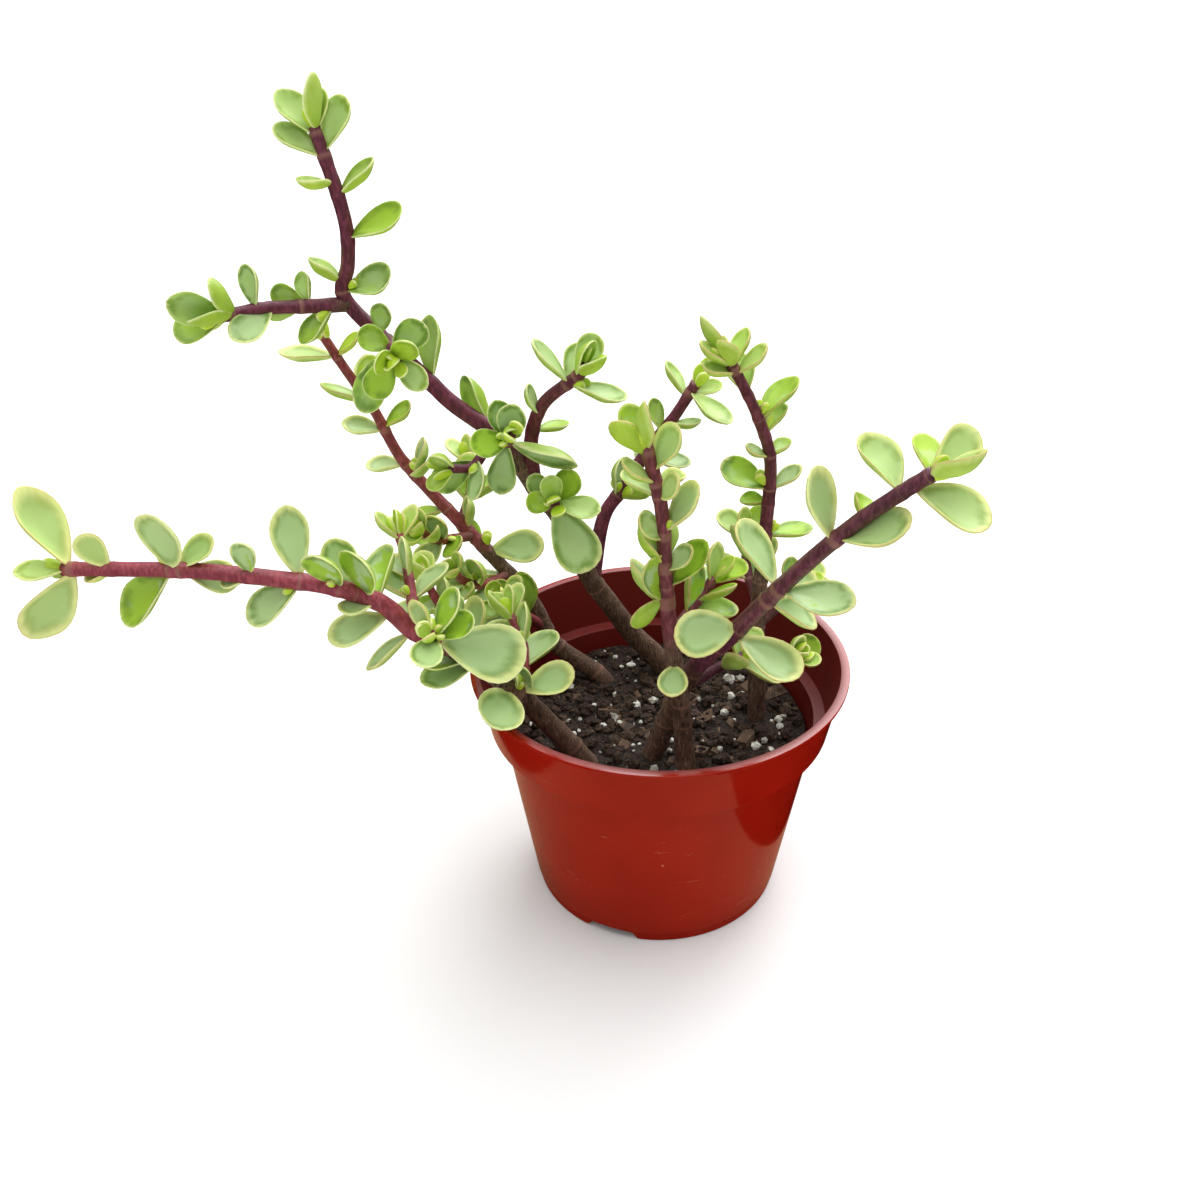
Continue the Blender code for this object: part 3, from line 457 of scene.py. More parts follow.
# %% The centre, right and back stems
SHOOTS += [
    # The centre stem
    shoot("centre_stem", [(10, -25, 38), (8, -26, 56), (6, -27, 78), (4, -28, 92),
                          (2, -29, 108), (1, -30, 123), (0, -30, 137), (-2, -29, 146),
                          (-4, -28, 153)],
          (6.0, 3.2), tip=0, leaves=[
              (54, 270, -5, 12), (75, 190, -40, 11, 90),
              (72, 160, 35, 13, 40), (74, 200, 70, 13, -20), (78, 10, 45, 15),
              (83, 340, 35, 10, 10), (84, 190, 60, 12, 20), (92, 210, 40, 10, -20),
              (86, 40, 50, 8, -90), (94, 350, 50, 14, 10), (103, 310, 30, 10, 30),
              (103, 140, 20, 10), (107, 220, 40, 10), (110, 340, 40, 12, 10),
              (106, 40, -10, 7), (114, 220, 50, 11, 60), (115, 280, 70, 12), (115, 130, 60, 10),
              (115, 60, 60, 10), (115, 200, 65, 9)]),
    shoot("centre_stem", [(3, -28, 100), (9, -21, 105), (14, -17, 111)],
          (3.2, 2.4), pairs=[7, 12], roll=10, leaf=(13, 11)),
    # The right stem
    shoot("right_stem", [(-6, -14, 40), (0, -16, 56), (5, -18, 74), (11, -22, 88),
                         (18, -27, 99), (25, -33, 112), (33, -42, 128), (43, -50, 144),
                         (53, -54, 155), (58, -56, 160)],
          (6.4, 3.4), tip=0, leaves=[
              (71, 220, 0, 20, -20), (68, 320, 15, 19, -20), (91, 140, 5, 17, 30),
              (92, 330, 40, 17, -10), (85, 10, -15, 14, -20),
              (86, 50, 10, 12), (115, 170, 30, 18, 10),
              (117, 320, 65, 19), (125, 80, -15, 9, 10),
              (136, 120, -10, 14, 10), (139, 350, 20, 16),
              (144, 100, -5, 10), (144, 60, 20, 15, 20), (144, 270, 65, 13, 10)]),
    shoot("right_stem", [(6, -18, 76), (15, -14, 80), (23, -12, 84)],
          (3.2, 2.4), tip=0, leaves=[
              (17, 350, 30, 13), (18, 190, 20, 11), (13, 250, 20, 10), (18, 90, 50, 10)]),
    # The back stem
    shoot("back_stem", [(29, 2, 40), (29, 4, 56), (28, 6, 77), (28, 8, 90), (29, 10, 114),
                        (29, 10, 132), (25, 8, 145), (20, 5, 156), (16, 4, 163)],
          (5.6, 2.8), tip=0, leaves=[
              (70, 20, -5, 12, -10), (84, 170, 15, 14), (84, 10, 25, 9, -10),
              (80, 130, -20, 7, -20), (94, 200, 45, 7), (94, 50, -10, 7, -10),
              (101, 60, 0, 10, -10), (106, 40, 10, 13, -30),
              (115, 100, 10, 12), (124, 100, 10, 11, -40), (124, 75, 10, 10, -20),
              (124, 120, 60, 14, 80), (124, 180, 60, 10, 20), (122, 200, 35, 9, 10),
              (122, 350, 15, 10), (124, 290, 60, 10, -30)]),
    shoot("back_stem", [(28, 6, 70), (35, 2, 73), (39, -1, 77)],
          (3.0, 2.4), pairs=[8], roll=80, leaf=(11, 8), tip=2),
    shoot("back_stem", [(28, 8, 88), (25, 16, 95), (24, 22, 103)],
          (3.2, 2.4), pairs=[8, 14], roll=0, leaf=(13, 11)),
    shoot("back_stem", [(28, 7, 82), (35, 9, 88), (40, 10, 94)],
          (3.2, 2.4), pairs=[8, 13], roll=60, leaf=(13, 10)),
]
STEMS = list(dict.fromkeys(plan["stem"] for plan in SHOOTS))
print("Stems:", STEMS)


# %% [markdown]
# ## Following a route
#
# A stem is a smooth line through its route's points. A Catmull-Rom curve passes through
# each point, so what was read from the photograph stays where it was. Along it travels a
# frame of two side directions, which never twists and so keeps a leaf's roll meaningful.

# %% Smooth routes
ROUTE_STEP = 9.0 * MM


def smooth_route(points, spacing=ROUTE_STEP):
    """A smooth curve through a route's points, read about every spacing."""
    knots = [Vector(point) * MM for point in points]
    ends = [knots[0] * 2 - knots[1], *knots, knots[-1] * 2 - knots[-2]]
    curve = []
    for before, start, end, after in zip(ends, ends[1:], ends[2:], ends[3:]):
        count = max(1, round((end - start).length / spacing))
        for number in range(count):
            t = number / count
            curve.append(0.5 * (2 * start + (end - before) * t
                                + (2 * before - 5 * start + 4 * end - after) * t ** 2
                                + (3 * start - 3 * end + after - before) * t ** 3))
    return curve + [knots[-1]]


def distances(curve):
    """How far along the curve each of its points lies."""
    along = [0.0]
    for first, second in zip(curve, curve[1:]):
        along.append(along[-1] + (second - first).length)
    return along


print("Length of the left stem:", round(distances(smooth_route(SHOOTS[0]["route"]))[-1], 3))


# %% [markdown]
# The frame starts from the direction away from the viewer and is made square to the curve
# again at each of its points.

# %% The frame along a route
THINNING = 1.3                    # a shoot thins faster near its foot than near its tip


def frame_at(curve, along, distance):
    """The point, the direction and the two side directions at a distance along a curve."""
    ahead = (curve[1] - curve[0]).normalized()
    away = Vector((0, 1, 0)) if abs(ahead.y) < 0.8 else Vector((0, 0, 1))
    last = len(curve) - 2
    for number in range(last + 1):
        ahead = (curve[number + 1] - curve[number]).normalized()
        away = (away - ahead * away.dot(ahead)).normalized()
        if along[number + 1] >= distance or number == last:
            share = (distance - along[number]) / (along[number + 1] - along[number])
            point = curve[number].lerp(curve[number + 1], share)
            return point, ahead, away.cross(ahead), away


def shoot_radius(plan, share):
    """A shoot's radius at a share of its length."""
    foot, tip = plan["thick"]
    return 0.5 * MM * (tip + (foot - tip) * (1 - share) ** THINNING)


print("Foot radius of the left stem in mm:", shoot_radius(SHOOTS[0], 0) / MM)


# %% [markdown]
# ## Where each leaf grows
#
# Real leaves make way for each other. Each planned leaf gets a little seeded play in its
# roll, lean, twist and length. Then it tries its place, and if its blade would cut through
# another leaf or a stem, it gives way by a small turn or grows shorter, as the shaded
# leaves of a real bush do. The rule, the draws and the coarse blades are those of the CAD
# solids, so each fine leaf lands on its solid one.

# %% Planned leaves
LIGHT = Vector((-0.05, -0.62, 0.78)).normalized()   # the side the plant was grown towards
ROLL_PLAY = 7.0
LEAN_PLAY = 5.0
TWIST_PLAY = 10.0
LENGTH_PLAY = 0.06
ROSETTE_SIZE = 0.9                # the outer pair, and how each pair further in differs
ROSETTE_SIZE_STEP = -0.2
ROSETTE_BACK = 1.8 * MM
ROSETTE_BACK_STEP = -0.8 * MM
ROSETTE_LEAN = 48
ROSETTE_LEAN_STEP = 14


def wanted_leaves(plan, total):
    """Each leaf's distance, roll, lean, length and twist, from the plan alone."""
    wanted = [(at * MM, turn, lean, length * MM, *(twist or (0,)))
              for at, turn, lean, length, *twist in plan["leaves"]]
    first, last = plan["leaf"]
    turn = plan["roll"]
    last_pair = max(1, len(plan["pairs"]) - 1)
    for number, at in enumerate(plan["pairs"]):
        length = (first + (last - first) * number / last_pair) * MM
        wanted += [(at * MM, turn, plan["lean"], length, 0),
                   (at * MM, turn + 180, plan["lean"], length, 0)]
        turn += 90
    for number in range(plan["tip"] if plan["pairs"] else 0):
        length = last * MM * (ROSETTE_SIZE + ROSETTE_SIZE_STEP * number)
        at = total - ROSETTE_BACK - ROSETTE_BACK_STEP * number
        lean = ROSETTE_LEAN + ROSETTE_LEAN_STEP * number
        wanted += [(at, turn, lean, length, 0), (at, turn + 180, lean, length, 0)]
        turn += 90
    return wanted


def planned_leaves(plan, rng):
    """Where a shoot's leaves would like to grow, from its foot to its rosette."""
    curve = smooth_route(plan["route"])
    along = distances(curve)
    total = along[-1]
    leaves = []
    for at, turn, lean, length, twist in wanted_leaves(plan, total):
        point, ahead, right, away = frame_at(curve, along, min(at, total - 0.5 * MM))
        leaves.append({
            "point": point, "ahead": ahead, "right": right, "away": away,
            "radius": shoot_radius(plan, min(1.0, at / total)),
            "roll": math.radians(turn + rng.uniform(-ROLL_PLAY, ROLL_PLAY)),
            "lean": math.radians(lean + rng.uniform(-LEAN_PLAY, LEAN_PLAY)),
            "twist": math.radians(twist + rng.uniform(-TWIST_PLAY, TWIST_PLAY)),
            "length": length * rng.uniform(1 - LENGTH_PLAY, 1 + LENGTH_PLAY),
            "face": plan["face"], "stem": plan["stem"], "share": at / total,
        })
    return leaves


print("Leaves on the left stem:", len(planned_leaves(SHOOTS[0], random.Random(SEED))))

# %% [markdown]
# A coarse blade is enough to feel for neighbours: a flat ball drawn out into a leaf, widest
# past its middle, with a wedge-shaped foot.

# %% A coarse blade
LEAF_WIDTH_RATIO = 0.66
LEAF_RIM_HALF = 0.36 * MM
LEAF_CROWN_HALF = 0.95 * MM
LEAF_CUP = 0.13
LEAF_CROWN_AT = 0.52              # where a leaf is thickest, as a share of its length
SMALL_LEAF = 12.0 * MM
LARGE_LEAF = 16.5 * MM


def half_width(t):
    """Half a leaf's width at a share t of its length, where the full width is 1."""
    return 0.8 * t ** 0.75 * math.sqrt(max(0.0, 1 - t ** 3))


def coarse_blade(length, grow):
    """A leaf along +X, upper side towards +Z, grown on all sides by a clearance."""
    leaf = bmesh.new()
    bmesh.ops.create_uvsphere(leaf, u_segments=8 if length < SMALL_LEAF else 10,
                              v_segments=3 if length > LARGE_LEAF else 2, radius=1.0)
    for vert in leaf.verts:
        side = round(1.4 * vert.co.z)
        if math.hypot(vert.co.x, vert.co.y) < 0.1:
            vert.co = Vector((LEAF_CROWN_AT * length, 0, side * (LEAF_CROWN_HALF + grow)))
            continue
        turn = math.atan2(vert.co.y, vert.co.x)
        t = 0.5 * (1 + math.cos(turn))
        width = LEAF_WIDTH_RATIO * length * half_width(t)
        across = 0.0 if abs(math.sin(turn)) < 0.01 else math.copysign(width, vert.co.y)
        rise = LEAF_CUP * abs(across) + side * (LEAF_RIM_HALF + grow)
        out = Vector((t - 0.5, across / length, 0)).normalized() * grow
        vert.co = Vector((length * t, across, rise)) + out
    return leaf


print("Widest half of a leaf:", round(max(half_width(n / 50) for n in range(51)), 3))

# %% [markdown]
# A leaf's place is a matrix: its length runs outwards and leans towards the shoot's tip,
# and its upper side turns from the tip towards the light.

# %% A leaf's place
LEAF_SUNK = 1.4 * MM              # how deep a leaf's foot goes into its stem
LEAF_CLEARANCE = 0.45 * MM
LEAF_FOOT_ROOM = 2.0 * MM         # this near its stem a leaf may touch a neighbour's foot
LEAF_SPREAD = 0.15                # how far a leaf's upper side tips back from its stem
STEEPEST_LEAN = math.radians(84)
LOWEST_LEAN = math.radians(-55)


def leaf_place(leaf, give):
    """The matrix and the length of a leaf after it has given way."""
    roll_shift, lean_shift, share = give
    roll = leaf["roll"] + math.radians(roll_shift)
    lean = min(STEEPEST_LEAN, max(LOWEST_LEAN, leaf["lean"] + math.radians(lean_shift)))
    outward = leaf["right"] * math.cos(roll) + leaf["away"] * math.sin(roll)
    axis = (outward * math.cos(lean) + leaf["ahead"] * math.sin(lean)).normalized()
    normal = leaf["ahead"] * (1 - leaf["face"]) + LIGHT * leaf["face"] - outward * LEAF_SPREAD
    normal = (normal - axis * normal.dot(axis)).normalized()
    normal.rotate(Quaternion(axis, leaf["twist"]))
    foot = leaf["point"] + outward * max(0.0, leaf["radius"] - LEAF_SUNK)
    turn = Matrix((axis, normal.cross(axis), normal)).transposed()
    return Matrix.Translation(foot) @ turn.to_4x4(), leaf["length"] * share + LEAF_SUNK


def felt_blade(leaf, give):
    """The blade beyond its foot, a little fatter than life, to feel for neighbours."""
    matrix, length = leaf_place(leaf, give)
    shape = coarse_blade(length, LEAF_CLEARANCE)
    shape.transform(matrix)
    near_foot = leaf["radius"] + LEAF_FOOT_ROOM
    doomed = [vert for vert in shape.verts if (vert.co - leaf["point"]).length < near_foot]
    bmesh.ops.delete(shape, geom=doomed, context="VERTS")
    tree = BVHTree.FromBMesh(shape)
    shape.free()
    return tree


# %% [markdown]
# The stems, the pot and the soil have to be felt too. The stems are bevelled curves with
# few sides, as in the CAD, and the pot and the soil are the CAD solids themselves.

# %% Things in the way
TRUNK = 5.0                       # shoots with a foot thicker than this have rounder bark


def felt_bark(plan):
    """A shoot as a tube with few sides."""
    curve = smooth_route(plan["route"])
    along = distances(curve)
    data = bpy.data.curves.new("felt", "CURVE")
    data.dimensions = "3D"
    data.bevel_depth = 1.0
    data.bevel_resolution = 2 if plan["thick"][0] > TRUNK else 1
    data.use_fill_caps = True
    spline = data.splines.new("POLY")
    spline.points.add(len(curve) - 1)
    for number, (point, at) in enumerate(zip(curve, along)):
        spline.points[number].co = (*point, 1.0)
        spline.points[number].radius = shoot_radius(plan, at / along[-1])
    tube = bpy.data.objects.new("felt", data)
    bpy.context.scene.collection.objects.link(tube)
    bpy.context.view_layer.update()
    seen = tube.evaluated_get(bpy.context.evaluated_depsgraph_get())
    shape = bmesh.new()
    shape.from_mesh(seen.to_mesh())
    tree = BVHTree.FromBMesh(shape)
    shape.free()
    bpy.data.objects.remove(tube)
    bpy.data.curves.remove(data)
    return tree


def felt_solid(name):
    shape = bmesh.new()
    shape.from_mesh(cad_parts[name].data)
    tree = BVHTree.FromBMesh(shape)
    shape.free()
    return tree


barks_felt = [(plan["stem"], felt_bark(plan)) for plan in SHOOTS]
solids_felt = [felt_solid("pot"), felt_solid("soil")]
print("Barks to keep clear of:", len(barks_felt))

# %% [markdown]
# Each leaf tries its first place and then the others, from the least change to the most: a
# roll and a lean in degrees and a share of its length.

# %% Leaves find their places
GIVE_WAY = [(0, 0, 1), (0, 14, 1), (18, 0, 1), (-18, 0, 1), (0, -16, 1), (30, 12, 0.92),
            (-30, 12, 0.92), (0, 26, 0.9), (45, 0, 0.85), (-45, 0, 0.85), (0, 0, 0.75),
            (60, 15, 0.8), (-60, 15, 0.8), (0, 30, 0.7), (30, 30, 0.65), (-30, 30, 0.65)]


def grow_leaves():
    rng = random.Random(SEED)
    placed = []
    grown = []
    for number, plan in enumerate(SHOOTS):
        in_way = solids_felt + [tree for index, (stem, tree) in enumerate(barks_felt)
                                if stem != plan["stem"] or index != number]
        for leaf in planned_leaves(plan, rng):
            reach = leaf["length"] + leaf["radius"] + LEAF_FOOT_ROOM
            near = [tree for tree, foot, size in placed
                    if (foot - leaf["point"]).length < reach + size]
            for give in GIVE_WAY:
                blade = felt_blade(leaf, give)
                if any(blade.overlap(other) for other in in_way + near):
                    continue
                placed.append((blade, leaf["point"], reach))
                leaf["matrix"], leaf["blade_length"] = leaf_place(leaf, give)
                leaf["shoot"] = number
                grown.append(leaf)
                break
    return grown


leaves = grow_leaves()
print("Leaves grown:", len(leaves))


# %% [markdown]
# ## Bark
#
# A young shoot is smooth, glossy and maroon. Old wood is grey-brown and dull, with fine
# length-wise cracks, and pale scars ring it where leaf pairs once sat, each on a slight
# swelling. One could sweep a curve's bevel, but then the radius, the scars and the wood's
# age would all need curves of their own. So a ring of vertices is extruded station by
# station, and each station's radius and attributes are set on the way.

# %% A tube of bark
BARK_STEP = 1.5 * MM
BARK_SIDES = 14
SCAR_SPREAD = 0.8 * MM
SCAR_SWELL = 0.22 * MM
OLD_SCAR_SPACING = 7.0 * MM
WOOD_ENDS = {"left_stem": 78, "second_stem": 72, "tall_stem": 112, "centre_stem": 62,
             "right_stem": 50, "back_stem": 62}      # mm from the foot of each main shoot
WOOD_FADE = 26 * MM


def scar_at(distance, scars):
    """How much of a leaf scar lies at a distance along a shoot, from 0 to 1."""
    return max((math.exp(-((distance - scar) / SCAR_SPREAD) ** 2) for scar in scars), default=0)


def wood_at(plan, is_main, distance):
    """How old and woody the bark is at a distance along a shoot, from 0 to 1."""
    end = WOOD_ENDS[plan["stem"]] * MM if is_main else 4 * MM
    return min(1.0, max(0.0, 0.5 + (end - distance) / WOOD_FADE))


def grow_bark(shape, plan, is_main, scars):
    """Extrudes a shoot's bark ring by ring into a bmesh, closed at both ends."""
    wood_layer = shape.verts.layers.float["wood"]
    scar_layer = shape.verts.layers.float["scar"]
    curve = smooth_route(plan["route"], BARK_STEP)
    along = distances(curve)
    total = along[-1]
    ring = bmesh.ops.create_circle(shape, cap_ends=True, segments=BARK_SIDES, radius=1.0)
    verts = ring["verts"]
    edges = list({edge for vert in verts for edge in vert.link_edges})
    for number, distance in enumerate(along):
        if number:
            drawn = bmesh.ops.extrude_edge_only(shape, edges=edges)["geom"]
            verts = [item for item in drawn if isinstance(item, bmesh.types.BMVert)]
            edges = [item for item in drawn if isinstance(item, bmesh.types.BMEdge)
                     and all(vert in verts for vert in item.verts)]
        point, ahead, right, away = frame_at(curve, along, distance)
        scar = scar_at(distance, scars)
        wood = wood_at(plan, is_main, distance)
        radius = shoot_radius(plan, distance / total) + SCAR_SWELL * scar
        if number == 0:
            order = {vert: math.tau * index / BARK_SIDES for index, vert in enumerate(verts)}
        else:
            order = {vert: order_of_last(vert, order) for vert in verts}
        for vert, turn in order.items():
            rib = 1 + 0.05 * wood * noise.noise(Vector((3 * math.cos(turn), 3 * math.sin(turn),
                                                        distance / (9 * MM))))
            side = right * math.cos(turn) + away * math.sin(turn)
            vert.co = point + side * radius * rib
            vert[wood_layer] = wood
            vert[scar_layer] = scar
    bmesh.ops.contextual_create(shape, geom=edges)


def order_of_last(vert, order):
    """The turn of the vertex that this one was extruded from."""
    for edge in vert.link_edges:
        other = edge.other_vert(vert)
        if other in order:
            return order[other]


print("Rings on the left stem:", len(smooth_route(SHOOTS[0]["route"], BARK_STEP)))


# %% [markdown]
# The shoots of a stem go into one bmesh. A shoot's scars are where its leaves grow, and on
# old wood, where the leaves have fallen, they follow at even distances.

# %% One stem's bark
def mesh_object(name, shape, finish, smooth=True):
    """A finished piece: a bmesh made an object at the origin, with its material."""
    bmesh.ops.recalc_face_normals(shape, faces=shape.faces)
    mesh = bpy.data.meshes.new(name)
    shape.to_mesh(mesh)
    shape.free()
    if smooth:
        mesh.shade_smooth()
    mesh.materials.append(finish.material)
    piece = bpy.data.objects.new(name, mesh)
    bpy.context.scene.collection.objects.link(piece)
    return piece


def dress(piece, node):
    """Puts a piece in a CAD solid's stead."""
    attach(piece, "root")
    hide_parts(node)


def scars_of(number, plan, is_main):
    scars = [leaf["share"] for leaf in leaves if leaf["shoot"] == number]
    total = distances(smooth_route(plan["route"]))[-1]
    scars = [share * total for share in scars]
    if is_main:
        first = min(scars, default=total)
        scars += [first - OLD_SCAR_SPACING * step for step in range(1, 10)]
    return scars


def stem_bark(stem, finish):
    shape = bmesh.new()
    shape.verts.layers.float.new("wood")
    shape.verts.layers.float.new("scar")
    own = [(number, plan) for number, plan in enumerate(SHOOTS) if plan["stem"] == stem]
    for number, plan in own:
        is_main = number == own[0][0]
        grow_bark(shape, plan, is_main, scars_of(number, plan, is_main))
    return mesh_object(f"{stem}_bark", shape, finish)


# %% [markdown]
# The finish runs from maroon to brown by the wood attribute. On the young part fine lighter
# streaks in the skin are painted highlight. On the old part pale and dark streaks are drawn
# out up the stem. The scars are tan lines.

# %% Bark finish
BARK_YOUNG = {"left_stem": (128, 44, 56), "second_stem": (118, 42, 46),
              "tall_stem": (84, 22, 44), "centre_stem": (100, 38, 50),
              "right_stem": (78, 30, 46), "back_stem": (84, 30, 42)}
BARK_OLD = (104, 78, 62)
BARK_PALE = (158, 134, 112)
BARK_CRACK = (48, 34, 28)
SCAR_TAN = (150, 108, 88)


def bark_finish(stem):
    finish = Finish(f"{stem}_bark", specular_ior_level=0.5)
    wood = finish.attribute("wood")
    scar = finish.attribute("scar")
    skin = finish.noise(finish.place((1, 1, 0.3)), 1400, 3)
    patch = finish.noise(finish.place(), 260, 3)
    grain = finish.noise(finish.place((1, 1, 0.22)), 1900, 4, 0.6)
    red, green, blue = BARK_YOUNG[stem]
    # Painted highlight: lighter streaks of the young bark's own colour.
    young = finish.blend(finish.step(skin + 0.5 * patch, 0.6, 1.0),
                         screen_colour(red, green, blue),
                         screen_colour(min(255, red + 38), green + 26, blue + 28))
    old = finish.blend(finish.step(patch, 0.35, 0.65), screen_colour(*BARK_OLD),
                       screen_colour(*(value - 22 for value in BARK_OLD)))
    old = finish.blend(0.5 * finish.step(grain, 0.54, 0.7), old, screen_colour(*BARK_PALE))
    old = finish.blend(finish.step(grain, 0.44, 0.34), old, screen_colour(*BARK_CRACK))
    bark = finish.blend(finish.step(wood + 0.5 * (patch - 0.5), 0.35, 0.7), young, old)
    bark = finish.blend(0.55 * finish.step(scar, 0.55, 0.95), bark, screen_colour(*SCAR_TAN))
    finish.wear(base_color=bark, roughness=0.36 + 0.42 * wood + 0.1 * skin)
    finish.bump(grain * (0.25 + wood) + 0.3 * skin, 0.35 * MM, 0.6)
    return finish


for stem in STEMS:
    bark = stem_bark(stem, bark_finish(stem))
    dress(bark, stem)
    print(bark.name, len(bark.data.polygons), "faces")


# %% [markdown]
# ## Leaves
#
# A leaf is a small fleshy scoop: thick, rounded rims, and a face that dips between them. A
# flat ball is a good start, because its rows already run from the middle to the rim. Each
# row is laid out as a share of the leaf's outline, and one level of subdivision rounds it.
# The row is also kept as an attribute, so that the cream margin can follow the rim.

# %% Copies of one shape
def unit_mesh(name, fill):
    """A small mesh that is copied many times."""
    shape = bmesh.new()
    fill(shape)
    mesh = bpy.data.meshes.new(name)
    shape.to_mesh(mesh)
    shape.free()
    return mesh


def add_copy(shape, unit):
    """Adds a copy of a mesh to a bmesh and returns its vertices.

    This stays quick however large the bmesh is, where an operator would go through all of
    it for each new ball."""
    start = len(shape.verts)
    shape.from_mesh(unit)
    shape.verts.ensure_lookup_table()
    return shape.verts[start:]


CAGE_SIDES = 12
CAGE_ROWS = 6
blade_ball = unit_mesh("blade_ball", lambda shape: bmesh.ops.create_uvsphere(
    shape, u_segments=CAGE_SIDES, v_segments=CAGE_ROWS, radius=1.0))
print("Faces in a leaf's cage:", len(blade_ball.polygons))

# %% [markdown]
# The rows of that ball are laid out as the leaf, with a thick rim round a shallow scoop.

# %% One fleshy leaf
CAGE_GROW = 1.035                 # subdivision draws a cage of this many sides in by so much
BLADE_HALF = 0.85 * MM
BLADE_FULLNESS = 3.0
UPPER_SHARE = 0.75                # the upper side is flatter than the lower one
SCOOP = 0.22                      # how far the rim rises, as a share of the length
SCOOP_POWER = 2.0                 # the face is flat in the middle and turns up at the rim


def leaf_layers(shape):
    """The attributes of the leaves: four numbers a vertex and a map of the blade."""
    for name in ("margin", "underside", "youth", "chance"):
        shape.verts.layers.float.new(name)
    shape.loops.layers.uv.new("blade")


def grow_leaf(shape, matrix, length, traits):
    """Adds a fleshy leaf to a bmesh. traits gives its width, scoop, youth and chance."""
    made = add_copy(shape, blade_ball)
    layers = shape.verts.layers.float
    flat = {}
    for vert in made:
        ball = vert.co.copy()
        row = min(1.0, math.hypot(ball.x, ball.y)) ** 0.9
        turn = math.atan2(ball.y, ball.x)
        t = 0.5 * (1 + math.cos(turn))
        rim_across = math.copysign(half_width(t), ball.y) * traits["width"] * length
        if abs(math.sin(turn)) < 0.01:
            rim_across = 0.0
        tip = traits["point"] * max(0.0, t - 0.93) / 0.07
        x = length * (LEAF_CROWN_AT + row * (t + tip - LEAF_CROWN_AT) * CAGE_GROW)
        y = row * rim_across * CAGE_GROW
        thick = BLADE_HALF * math.sqrt(max(0.0, 1 - row ** BLADE_FULLNESS))
        thick *= UPPER_SHARE if ball.z > 0 else -(2 - UPPER_SHARE)
        if abs(ball.z) < 0.01:
            thick = 0.0
        rise = traits["scoop"] * length * row ** SCOOP_POWER * min(1.0, 2.5 * t)
        bend = traits["bend"] * length * (x / length) ** 2
        flat[vert] = (x / length, 0.5 + y / length)
        vert.co = matrix @ Vector((x, y, thick + rise + bend))
        vert[layers["margin"]] = row
        vert[layers["underside"]] = 0.5 - 0.5 * (ball.z > 0.01) + 0.5 * (ball.z < -0.01)
        vert[layers["youth"]] = traits["youth"]
        vert[layers["chance"]] = traits["chance"]
    map_layer = shape.loops.layers.uv["blade"]
    for vert in made:
        for loop in vert.link_loops:
            loop[map_layer].uv = flat[vert]


# %% [markdown]
# The leaf's colours are laid on from the middle out: a glaucous middle, partly the leaf's
# own grey-green and partly painted reflection of the sky; a deeper green towards the margin
# in uneven tongues, partly painted shade; the cream margin itself; and a thin line on the
# very rim, reddish on some leaves and pale on others, the pale line partly painted highlight.
# Young leaves are lime all over. Three numbers a stem say how wide its margins are, how
# blue its green is and how red its rims.

# %% Leaf finish
LEAF_LOOKS = {
    # stem: margin width, blueness, reddish rim
    "left_stem": (0.30, 0.75, 0.5),
    "second_stem": (0.26, 0.5, 0.2),
    "tall_stem": (0.12, 0.25, 0.3),
    "centre_stem": (0.27, 0.7, 0.1),
    "right_stem": (0.30, 0.75, 0.2),
    "back_stem": (0.22, 0.5, 0.2),
}
# Partly the leaves' own grey-green, partly painted reflection of the sky.
GLAUCOUS_AND_SKY_SHEEN = (174, 202, 138)
FRESH_GREEN = (156, 194, 54)
# Partly the leaves' own deep green, partly painted shade.
DEEP_GREEN_AND_SHADE = (90, 130, 14)
CREAM = (238, 240, 160)
LIME = (188, 216, 44)
# Partly the cream rim, partly painted highlight where the rim catches light.
PALE_RIM_AND_HIGHLIGHT = (246, 246, 198)
RED_RIM = (190, 120, 84)
UNDER_GREEN = (158, 188, 58)


